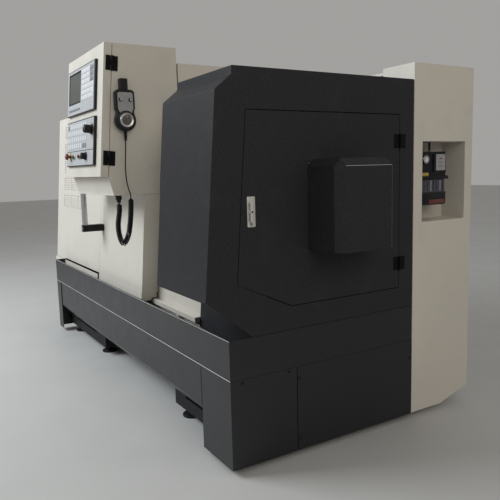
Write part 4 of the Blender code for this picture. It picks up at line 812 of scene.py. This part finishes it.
class LATHE_OT_panel(bpy.types.Operator):
    """Dress the operator panel: fascia, keys, dials, buttons and knobs"""

    bl_idname = "lathe.panel"
    bl_label = "Operator Panel"

    def execute(self, context):
        piece = Piece("operator_fascia")
        x = (PANEL_LOW.x + 0.006, PANEL_HIGH.x - 0.016)
        split = PANEL_LOW.z + 0.094
        plate_on(piece, PANEL_FRONT, x, (split + 0.004, PANEL_HIGH.z - 0.006), 0.001, "membrane", 0.003)
        sockets = [spot(name) for name in ("emergency_stop", "start_button", "stop_button")]
        add_lower_strip(piece, x, (PANEL_LOW.z + 0.006, split), sockets)
        add_key_grid(piece)
        add_dial_marks(piece, "override_knob", 0.0365, 16, 270)
        add_dial_marks(piece, "mode_knob", 0.0315, 7, 180)
        collar = turned(((0, 0.0155), (0, 0.029), (0.0022, 0.029), (0.0032, 0.0275), (0.0032, 0.0155)), 40)
        piece.add(collar, "yellow", on_front(PANEL_FRONT, *sockets[0], 0.0014))
        for socket in sockets[1:]:
            bezel = ((0, 0.0138), (0, 0.0185), (0.006, 0.0175), (0.0068, 0.0165), (0.0068, 0.0138))
            piece.add(turned(bezel, 36), "zinc", on_front(PANEL_FRONT, *socket, 0.0014))
        piece.finish("lid", "panel_grey")
        make_mushroom(sockets[0])
        make_cap("start_button", "green", "start_green")
        make_cap("stop_button", "red", "stop_red")
        make_knob("mode_knob", 0.026, 0.033)
        make_knob("override_knob", 0.032, 0.05)
        return {"FINISHED"}


class LATHE_OT_handle(bpy.types.Operator):
    """Build the pull handle's bright grip with its caps and screws"""

    bl_idname = "lathe.handle"
    bl_label = "Pull Handle"

    def execute(self, context):
        low, high = near("handle_grip")
        middle, radius = centre_of("handle_grip"), (high.x - low.x) / 2
        waist = radius - 0.0016
        end = ((0, 0), (0, radius), (0.01, radius), (0.011, waist), (0.013, waist), (0.014, radius))
        profile = [(low.z + along, reach) for along, reach in end]
        profile += [(high.z - along, reach) for along, reach in reversed(end)]
        tube = Piece("handle_tube").add(turned(profile, 56), "brushed", shift(*middle.xy, 0))
        tube.finish("guard", "brushed_steel", "handle_grip")
        fittings = Piece("handle_fittings")
        for name in ("handle_arm_lower", "handle_arm_upper"):
            low, high = near(name)
            z = (low.z + high.z) / 2
            cap = facing((middle.x, low.y, z), (1, 0, 0), (0, 0, 1))
            fittings.add(cylinder(0.013, -0.001, 0.0014), "brushed", cap)
            for side in (-1, 1):
                place = (middle.x + side * 0.0272, high.y - 0.021, z)
                add_screw(fittings, facing(place, (0, side, 0), (0, 0, 1)), 0.005)
        fittings.finish("guard", "black_plastic")
        return {"FINISHED"}


LEAD_ROUTE = (
    (-1.2357, 0.034, 1.5732), (-1.2357, 0.032, 1.53), (-1.2357, 0.029, 1.47), (-1.2357, 0.023, 1.391),
    (-1.2357, 0.024, 1.315), (-1.2357, 0.033, 1.256), (-1.2357, 0.0445, 1.218), (-1.2357, 0.0445, 1.1968),
)
COIL_ROUTE = (
    (-1.2357, 0.0445, 1.1965), (-1.2357, 0.044, 1.155), (-1.237, 0.036, 1.066), (-1.241, 0.02, 0.977),
    (-1.26, -0.006, 0.925), (-1.279, -0.022, 0.972), (-1.287, -0.024, 1.04), (-1.29, -0.011, 1.115),
    (-1.29, -0.011, 1.1672),
)


def smooth_path(route, spacing):
    """Points at an even spacing along a smooth curve through the route's own points."""
    points = [Vector(p) for p in route]
    ends = [points[0] * 2 - points[1]] + points + [points[-1] * 2 - points[-2]]
    fine = []
    for a, b, c, d in zip(ends, ends[1:], ends[2:], ends[3:]):
        for step in range(24):
            t = step / 24
            bend = (c - a) * t + (2 * a - 5 * b + 4 * c - d) * t**2 + (3 * b - a - 3 * c + d) * t**3
            fine.append(b + 0.5 * bend)
    fine.append(points[-1])
    lengths = [(q - p).length for p, q in zip(fine, fine[1:])]
    count = max(2, round(sum(lengths) / spacing))
    kept, walked, wanted = [fine[0]], 0, sum(lengths) / count
    for (p, q), length in zip(zip(fine, fine[1:]), lengths):
        while walked + length > wanted * len(kept) and len(kept) < count:
            kept.append(p.lerp(q, (wanted * len(kept) - walked) / length))
        walked += length
    return kept + [fine[-1]]


def coiled(path, radius, pitch):
    """A helix round a path, tight on its straights and opened out round its bends."""
    tangents = [(b - a).normalized() for a, b in zip(path, path[1:])]
    tangents.append(tangents[-1])
    side = tangents[0].orthogonal().normalized()
    step = (path[1] - path[0]).length
    total, walked, turn, wound = step * (len(path) - 1), 0, 0, []
    for place, along, ahead in zip(path, tangents, tangents[1:] + tangents[-1:]):
        side = (side - along * side.dot(along)).normalized()
        bend = along.angle(ahead, 0) / step
        ramp = min(1.0, walked / (radius * 1.1), (total - walked) / (radius * 1.1))
        reach = radius * (0.5 - 0.5 * cos(pi * max(ramp, 0)))
        wound.append(place + Matrix.Rotation(turn, 3, along) @ side * reach)
        turn += tau * step * max(1.0 - radius * bend, 0.7) / pitch
        walked += step
    return wound


def dress_face():
    """Waisted label plate, the wheel's graduated ring, the clip's screws and the strain relief."""
    face_x = PENDANT_HIGH.x + 0.0002
    face = end_face(WHEEL.y, WHEEL.z, face_x)
    piece = Piece("pendant_trim")
    half, round_off = 0.046, 0.012
    inner, top = half - round_off, PENDANT_HIGH.z - 0.016 - WHEEL.z - round_off
    outline = arc((inner, top), round_off, 0, 90, 6) + arc((-inner, top), round_off, 90, 180, 6)
    outline += [(-half, 0.066), (0.009 - half, 0.046), *arc((0, 0), 0.0545, 130, 50, 15)]
    outline += [(half - 0.009, 0.046), (half, 0.066)]
    piece.add(bevelled(sweep_outline(outline, 0, 0.0014), 0.0004, 1, 1.0), "label", face)
    for name in ("axis_selector", "rate_selector"):
        place = end_face(centre_of(name).y, centre_of(name).z, face_x)
        for index in range(6):
            mark = ray((0.015, 0.018), 0.001, (0.0014, 0.0018))
            piece.add(mark, "white", place @ turned_by(radians(20 + 28 * index)))
    ring = turned(((0, 0.043), (0, 0.0525), (0.002, 0.0515), (0.0026, 0.05), (0.0026, 0.043)), 64)
    piece.add(ring, "black", face)
    for index in range(50):
        mark = ray((0.0442, 0.047 if index % 5 else 0.0487), 0.0006, (0.0024, 0.0029))
        piece.add(mark, "white", face @ turned_by(index * tau / 50))
    low, high = near("pendant_clip")
    for z in (high.z - 0.016, high.z - 0.044):
        add_screw(piece, end_face((low.y + high.y) / 2, z, high.x + PROUD), 0.0042)
    foot = PENDANT_LOW.z
    ribs = [(foot - 0.04, 0)]
    for index in range(12):
        level, waist = foot - 0.04 + index * 0.0052, 0.0062 + index * 0.0003
        ribs += [(level, waist + 0.0016), (level + 0.003, waist + 0.002)]
        ribs += [(level + 0.0032, waist), (level + 0.005, waist)]
    ribs += [(foot + 0.023, 0.011), (foot + 0.027, 0.011), (foot + 0.027, 0)]
    piece.add(turned(ribs, 28), "rubber", shift(LEAD_ROUTE[0][0], WHEEL.y, 0))
    piece.finish("guard", "black_plastic")


def make_wheel():
    """Handwheel: a bright knurled ring round a brown disc, with its thumb dimple."""
    place = end_face(WHEEL.y, WHEEL.z, near("pendant_wheel")[0].x)
    ring = turned(
        (
            (0, 0), (0, 0.033), (0.002, 0.0395), (0.004, 0.0408), (0.013, 0.041), (0.0155, 0.04),
            (0.0168, 0.0375), (0.0166, 0.035), (0.015, 0.0325), (0.0142, 0.03), (0.0142, 0),
        ),
        72,
    )
    disc = turned(
        ((0.0143, 0), (0.0143, 0.0292), (0.0158, 0.0286), (0.0162, 0.024), (0.0156, 0.012), (0.0156, 0)), 56
    )
    piece = Piece("handwheel").add(ring, "brushed", place).add(disc, "disc", place)
    for index in range(48):
        knurl = ray((0.0407, 0.0413), 0.0016, (0.005, 0.0122), 0.0003)
        piece.add(knurl, "brushed", place @ turned_by(index * tau / 48))
    dimple = turned(((0.0157, 0), (0.0157, 0.0062), (0.017, 0.0058), (0.016, 0.004), (0.0158, 0)), 28)
    piece.add(dimple, "zinc", place @ shift(0, 0.02, 0))
    piece.finish("pendant_wheel", "ground_steel", "pendant_wheel")


def make_selector(node):
    """Small black selector knob with a bright cap and a pointer."""
    middle = centre_of(node)
    place = end_face(middle.y, middle.z, near(node)[0].x + 0.0012)
    stem = turned(
        (
            (0, 0), (0, 0.0105), (0.002, 0.0105), (0.004, 0.0092), (0.012, 0.0086), (0.013, 0.008),
            (0.013, 0),
        ),
        40,
    )
    cap = turned(((0.0129, 0), (0.0129, 0.007), (0.0136, 0.0064), (0.0138, 0)), 32)
    piece = Piece(f"{node}_knob").add(stem, "black", place).add(cap, "membrane", place)
    piece.add(bar((-0.0006, 0.0006), (0.0062, 0.0104), (0.0018, 0.0131)), "white", place)
    piece.finish(node, "black_plastic", node)


def make_cord(trim):
    """The cord as one line: its straight lead, then the curly stretch down and up to the plug."""
    radius = trim.cord_diameter / 2
    coil_radius = near("pendant_coil")[1].x - COIL_ROUTE[0][0] - radius
    coil = coiled(smooth_path(COIL_ROUTE, 0.0004), coil_radius, trim.cord_diameter * trim.coil_pitch)
    line = smooth_path(LEAD_ROUTE, 0.006) + coil[1:]
    curve = bpy.data.curves.new("pendant_cord", "CURVE")
    curve.dimensions = "3D"
    curve.bevel_depth = radius
    curve.bevel_resolution = 3
    curve.use_fill_caps = True
    spline = curve.splines.new("POLY")
    spline.points.add(len(line) - 1)
    for point, place in zip(spline.points, line):
        point.co = (*(place + DATUM), 1.0)
        point.radius = 1.0
    spline.use_smooth = True
    curve.materials.append(FINISHES["rubber"])
    cord = placed("pendant_cord", curve)
    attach(cord, "guard")
    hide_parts("pendant_lead", "pendant_coil")
    make_plug()


def make_plug():
    """Ribbed cable plug under the control cabinet."""
    low, high = near("pendant_plug")
    height = high.z - low.z
    profile = [(0, 0), (0, 0.009), (0.003, 0.0115), (0.015, 0.0135), (0.019, 0.017)]
    for index in range(3):
        level = 0.0205 + index * 0.0056
        profile += [(level, 0.0192), (level + 0.0036, 0.0192)]
        profile += [(level + 0.0038, 0.018), (level + 0.0052, 0.018)]
    profile += [(height - 0.006, 0.0198), (height - 0.0004, 0.0198), (height - 0.0004, 0)]
    place = shift(*centre_of("pendant_plug").xy, low.z)
    piece = Piece("cord_plug").add(turned(profile, 40), "black", place)
    return piece.finish("guard", "black_plastic", "pendant_plug")


class LATHE_OT_pendant(bpy.types.Operator):
    """Build the hand pendant's fittings and wind its coiled cord"""

    bl_idname = "lathe.pendant"
    bl_label = "Hand Pendant"

    def execute(self, context):
        dress_face()
        make_wheel()
        for name in ("axis_selector", "rate_selector"):
            make_selector(name)
        make_cord(context.scene.lathe_trim)
        return {"FINISHED"}


def screw_hinges():
    """Two countersunk screws on every hinge leaf."""
    leaves = (
        ("lid", "fixed", "guard"), ("lid", "moving", "lid"), ("door", "fixed", "base"),
        ("door", "moving", "end_door"),
    )
    for group, leaf, body in leaves:
        piece = Piece(f"{group}_{leaf}_leaf_screws")
        for level in ("upper", "lower"):
            low, high = near(f"{group}_hinge_{level}_{leaf}_leaf")
            inner = high.y - 0.013 if leaf == "fixed" else low.y + 0.013
            for share in (0.22, 0.78):
                rise = (high.z - low.z) * (share - 0.5)
                lean = tan(INCLINE) * rise / 2 if group == "lid" else 0
                add_screw(piece, end_face(inner + lean, (low.z + high.z) / 2 + rise, low.x + 0.004), 0.0036)
        piece.finish(body, "hinge_black")


def fit_latch_plate(place):
    """The latch's plate with its key barrel."""
    backing = place @ shift(0.005, 0, 0)
    lock = place @ shift(0.004, -0.053, 0.0022)
    plate = Piece("latch_plate").add(rounded_plate(0.04, 0.13, 0.0022, 0.004, 0.0008), "nickel", backing)
    plate.add(cylinder(0.0078, 0, 0.0016, 28), "zinc", lock)
    # A dark bar on the barrel paints the shade in the keyhole
    plate.add(bar((-0.0008, 0.0008), (-0.0034, 0.0034), (0.0015, 0.0018)), "slot_dark", lock)
    plate.finish("end_door", "brushed_steel")


def fit_lever(place, half, reach):
    """The latch's turning lever."""
    latch = Piece("latch_lever").add(cylinder(half * 0.8, 0.0028, 0.008, 36), "nickel", place)
    lever = rounded_plate(half * 1.2, reach * 1.5, 0.0105, half * 0.3, 0.0022)
    latch.add(lever, "nickel", place @ shift(0, 0, 0.0075))
    latch.add(cylinder(0.0046, 0.0178, 0.0184, 24), "dark_screw_and_shade", place)
    latch.finish("door_latch", "brushed_steel", "door_latch")


def cover_edges():
    """Plates over the bulge's sloping top edges, and thin pale lines that paint highlights on them."""
    lift = PROUD / sqrt(2)
    edges = Piece("bulge_edge_plates")
    for side, y in ((-1, 0.443), (1, 0.7425)):
        slope = facing((0.0959, y + side * lift, 1.3655 + lift), (-side, 0, 0), (0, -side, 1))
        edges.add(rounded_plate(0.191, 0.0485, 0.0008), "charcoal", slope)
    # Pale lines on the bulge's front top edge and right edge paint highlights
    top_highlight = facing((0.2242, 0.5928, 1.3494), (0, 1, 0), (-1, 0, 1))
    edges.add(rounded_plate(0.264, 0.0016, 0.0002), "worn_edge", top_highlight)
    side_highlight = facing((0.2242, 0.7264, 1.164), (-1, 1, 0), (0, 0, 1))
    edges.add(rounded_plate(0.0016, 0.366, 0.0002), "worn_edge", side_highlight)
    edges.finish("end_door", "charcoal_paint")


class LATHE_OT_hardware(bpy.types.Operator):
    """Fit the latch, its escutcheon and the hinge screws"""

    bl_idname = "lathe.hardware"
    bl_label = "Door Hardware"

    def execute(self, context):
        low, middle = near("door_latch")[0], centre_of("door_latch")
        place = end_face(middle.y, middle.z, PROUD)
        fit_latch_plate(place)
        cover_edges()
        fit_lever(place, middle.y - low.y, middle.z - low.z)
        screw_hinges()
        return {"FINISHED"}


class LATHE_OT_pump(bpy.types.Operator):
    """Dress the lubrication pump in its niche"""

    bl_idname = "lathe.pump"
    bl_label = "Lubrication Pump"

    def execute(self, context):
        head_low, head_high = near("lube_pump_head")
        tank_low, tank_high = near("lube_reservoir")
        left, foot, top, width = tank_low.y, tank_low.z, tank_high.z, tank_high.y - tank_low.y
        front, cover, sign = tank_high.x + PROUD, -0.0296, -0.0217
        oil_x = front + 0.0014
        piece = Piece("pump_fittings")
        gauge = end_face(head_low.y + 0.028, 1.372, -0.012 + PROUD)
        rim = ((0, 0), (0, 0.0212), (0.0026, 0.0212), (0.0034, 0.02), (0.0028, 0.018), (0.0016, 0))
        piece.add(turned(rim, 44), "zinc", gauge)
        piece.add(turned(((0.0017, 0), (0.0017, 0.0176), (0.0024, 0.0174), (0.0024, 0)), 40), "white", gauge)
        needle = bar((-0.0006, 0.0006), (-0.003, 0.014), (0.0025, 0.003))
        piece.add(needle, "slot_dark", gauge @ turned_by(0.9))
        sign_y, sign_z = head_high.y - 0.06, top + 0.088
        plates = [
            ("yellow", 0.052, 0.018, 0.0016, 0.003, 0.0005, head_low.y + 0.04, top + 0.026, cover),
            ("label", 0.07, 0.084, 0.001, 0.003, 0, sign_y, sign_z, sign),
            ("red", 0.02, 0.007, 0.0004, 0.001, 0, sign_y, sign_z + 0.02, sign + 0.001),
            ("dark_key", 0.034, 0.007, 0.0004, 0.001, 0, sign_y, sign_z, sign + 0.001),
            ("dark_key", 0.042, 0.007, 0.0004, 0.001, 0, sign_y, sign_z - 0.02, sign + 0.001),
            ("black", width * 0.94, 0.064, 0.0014, 0.003, 0.0004, left + width / 2, foot + 0.036, front),
            ("oil_red", width * 0.62, 0.022, 0.001, 0.002, 0.0004, left + width * 0.62, foot + 0.018, oil_x),
        ]
        for index in range(7):
            shade = "label" if index in (2, 5) else "reservoir"
            y = left + width * (0.14 + 0.12 * index)
            plates.append((shade, 0.006, 0.056, 0.003, 0.0015, 0.0008, y, top - 0.034, front))
        for shade, *size, y, z, x in plates:
            piece.add(rounded_plate(*size), shade, end_face(y, z, x))
        rim_y = head_high.y - 0.012
        for y, rise in ((head_low.y + 0.022, 0.03), (rim_y, 0.03), (rim_y, 0.134)):
            add_screw(piece, end_face(y, top + rise, cover), 0.0042, "zinc", "dark_screw_and_shade")
        lip = bar((head_low.y + 0.006, head_high.y - 0.01), (-0.006, 0.006), (0, 0.003), 0.0012)
        piece.add(lip, "black", end_face(0, top + 0.009, -0.02 + PROUD))
        nut = cylinder(0.0105, head_high.z - 0.0535, head_high.z - 0.044, 6)
        piece.add(nut, "zinc", shift(-0.09, head_low.y + 0.138, 0))
        piece.finish("base", "black_plastic")
        return {"FINISHED"}


def dress_chuck():
    """Centre cap and mounting screws on the chuck's face."""
    face = end_face(SPINDLE.y, SPINDLE.z, CHUCK_FACE + PROUD)
    cap = turned(((0, 0), (0, 0.027), (0.0024, 0.026), (0.0034, 0.023), (0.0034, 0)))
    piece = Piece("chuck_fittings").add(cap, "zinc", face)
    for index in range(3):
        for offset, reach in ((-0.35, 0.088), (0.35, 0.088), (0, 0.052)):
            angle = (index / 3 + 7 / 12) * tau + offset
            place = face @ shift(reach * cos(angle), reach * sin(angle), 0)
            if offset:
                add_screw(piece, place, 0.0068)
            else:
                add_screw(piece, place, 0.0048, "zinc", "dark_screw_and_shade")
    piece.finish("spindle", "ground_steel")


def dress_jaws():
    """Two socket screws on every jaw."""
    step = CHUCK_FACE + 0.0243 + PROUD
    for index in range(3):
        turn = shift(0, SPINDLE.y, SPINDLE.z) @ Matrix.Rotation(index * tau / 3, 4, "X")
        piece = Piece(f"jaw_{index + 1}_screws")
        for reach in (0.08, 0.104):
            add_screw(piece, turn @ end_face(0, reach, step), 0.0072)
        piece.finish(f"jaw_{index + 1}", "ground_steel")


def dress_tool_post():
    """Clamping nut with its handle stub, and clamping screws over every tool slot."""
    top = shift(*centre_of("tool_post").xy, near("tool_post")[1].z)
    hub = turned((
        (PROUD, 0), (PROUD, 0.03), (0.006, 0.03), (0.008, 0.022), (0.03, 0.02), (0.036, 0.014), (0.038, 0)
    ))
    piece = Piece("tool_post_fittings").add(hub, "steel", top)
    for index in range(4):
        for offset in (-0.052, -0.018, 0.016):
            place = top @ turned_by(index * pi / 2) @ shift(offset, 0.066, PROUD)
            piece.add(cylinder(0.0062, 0, 0.012, 6), "dark_screw_and_shade", place)
            piece.add(cylinder(0.005, 0.012, 0.0135, 20), "zinc", place)
    piece.finish("tool_post", "ground_steel")


def dress_ways():
    """Cap screws on the headstock's front, and the ring round its spindle."""
    piece = Piece("bed_fittings")
    low, high = near("headstock")
    for x in (low.x + 0.08, (low.x + high.x) / 2, high.x - 0.08):
        for z in (low.z + 0.06, high.z - 0.08):
            add_screw(piece, facing((x, low.y - PROUD, z), (1, 0, 0), (0, 0, 1)), 0.011)
    ring = turned(((0, 0.064), (0, 0.098), (0.005, 0.096), (0.0056, 0.09), (0.0056, 0.064)), 56)
    piece.add(ring, "zinc", end_face(SPINDLE.y, SPINDLE.z, high.x + PROUD))
    piece.finish("base", "cast_paint")


class LATHE_OT_machining(bpy.types.Operator):
    """Turn the chuck, its jaws' details and the tool post's screws"""

    bl_idname = "lathe.machining"
    bl_label = "Machining Group"

    def execute(self, context):
        dress_chuck()
        dress_jaws()
        dress_tool_post()
        dress_ways()
        return {"FINISHED"}


def lay_floor(stage):
    """A wide painted floor, a hair below the feet."""
    work = bmesh.new()
    bmesh.ops.create_grid(work, x_segments=1, y_segments=1, size=30.0)
    mesh = bpy.data.meshes.new("floor")
    work.to_mesh(mesh)
    work.free()
    paint = new_finish("floor", "floor_paint", stage.floor_color, 0.55, vary=0.03, patch=0.8, smear=0.1)
    mesh.materials.append(paint)
    floor = placed("floor", mesh)
    floor.location.z = -0.0005


def area(name, place, target, size, power, color):
    """A rectangular light at a place, aimed at a target."""
    lamp = bpy.data.lights.new(name, "AREA")
    lamp.shape = "RECTANGLE"
    lamp.size, lamp.size_y = size
    lamp.energy = power
    lamp.color = color
    turn = (Vector(target) - Vector(place)).to_track_quat("-Z", "Y")
    made = placed(name, lamp)
    made.matrix_world = Matrix.LocRotScale(Vector(place) + DATUM, turn, Vector((1, 1, 1)))


def light(context, stage):
    """A wide window light to the front left, a faint fill at the right end, and an even sky."""
    area("window", (-3.8, -4.2, 4.6), (-2.0, 0, 1.7), (4.0, 3.0), stage.key_power, (0.9, 0.955, 1.0))
    area("fill", (4.8, -0.4, 3.6), (-0.9, 0.3, 1.3), (3.0, 2.4), stage.fill_power, (1.0, 0.92, 0.8))
    world = bpy.data.worlds.new("even_sky")
    world.use_nodes = True
    background = world.node_tree.nodes["Background"]
    background.inputs["Color"].default_value = (1.0, 0.985, 0.955, 1.0)
    background.inputs["Strength"].default_value = stage.sky
    context.scene.world = world


def place_camera(context, stage):
    """The photograph's own view."""
    sine, cosine = sin(stage.pitch), cos(stage.pitch)
    ahead = Vector((-sin(stage.yaw) * cosine, cos(stage.yaw) * cosine, sine))
    right = Vector((cos(stage.yaw), sin(stage.yaw), 0))
    above = right.cross(ahead)
    across = right * cos(stage.roll) + above * sin(stage.roll)
    upward = above * cos(stage.roll) - right * sin(stage.roll)
    lens = bpy.data.cameras.new("photo_camera")
    lens.lens = stage.lens
    lens.sensor_width = 36.0
    camera = placed("photo_camera", lens)
    turn = Matrix((across, upward, -ahead)).transposed().to_4x4()
    camera.matrix_world = Matrix.Translation(Vector(stage.eye) + DATUM) @ turn
    context.scene.camera = camera
    context.scene.view_settings.view_transform = "Standard"


class LATHE_OT_stage(bpy.types.Operator):
    """Set the floor, the soft light and the camera"""

    bl_idname = "lathe.stage"
    bl_label = "Stage"

    def execute(self, context):
        stage = context.scene.lathe_stage
        lay_floor(stage)
        light(context, stage)
        place_camera(context, stage)
        return {"FINISHED"}


class LATHE_PT_tools(bpy.types.Panel):
    """Settings and operators of the lathe"""

    bl_idname = "LATHE_PT_tools"
    bl_label = "Turning Lathe"
    bl_space_type = "VIEW_3D"
    bl_region_type = "UI"
    bl_category = "Lathe"

    def draw(self, context):
        for settings in (context.scene.lathe_paint, context.scene.lathe_trim, context.scene.lathe_stage):
            box = self.layout.box()
            for name in settings.__annotations__:
                box.prop(settings, name)
        for operator in OPERATORS:
            self.layout.operator(operator.bl_idname)


SETTINGS = {
    "lathe_paint": LathePaintSettings,
    "lathe_trim": LatheTrimSettings,
    "lathe_stage": LatheStageSettings,
}
OPERATORS = (
    LATHE_OT_finishes,
    LATHE_OT_covers,
    LATHE_OT_screen,
    LATHE_OT_panel,
    LATHE_OT_handle,
    LATHE_OT_pendant,
    LATHE_OT_hardware,
    LATHE_OT_pump,
    LATHE_OT_machining,
    LATHE_OT_stage,
)


def register():
    for name, group in SETTINGS.items():
        bpy.utils.register_class(group)
        setattr(bpy.types.Scene, name, PointerProperty(type=group))
    for made in (*OPERATORS, LATHE_PT_tools):
        bpy.utils.register_class(made)


def unregister():
    for made in reversed((*OPERATORS, LATHE_PT_tools)):
        bpy.utils.unregister_class(made)
    for name, group in SETTINGS.items():
        delattr(bpy.types.Scene, name)
        bpy.utils.unregister_class(group)


def main():
    register()
    for operator in OPERATORS:
        getattr(bpy.ops.lathe, operator.bl_idname.split(".")[1])()


if __name__ == "__main__":
    main()
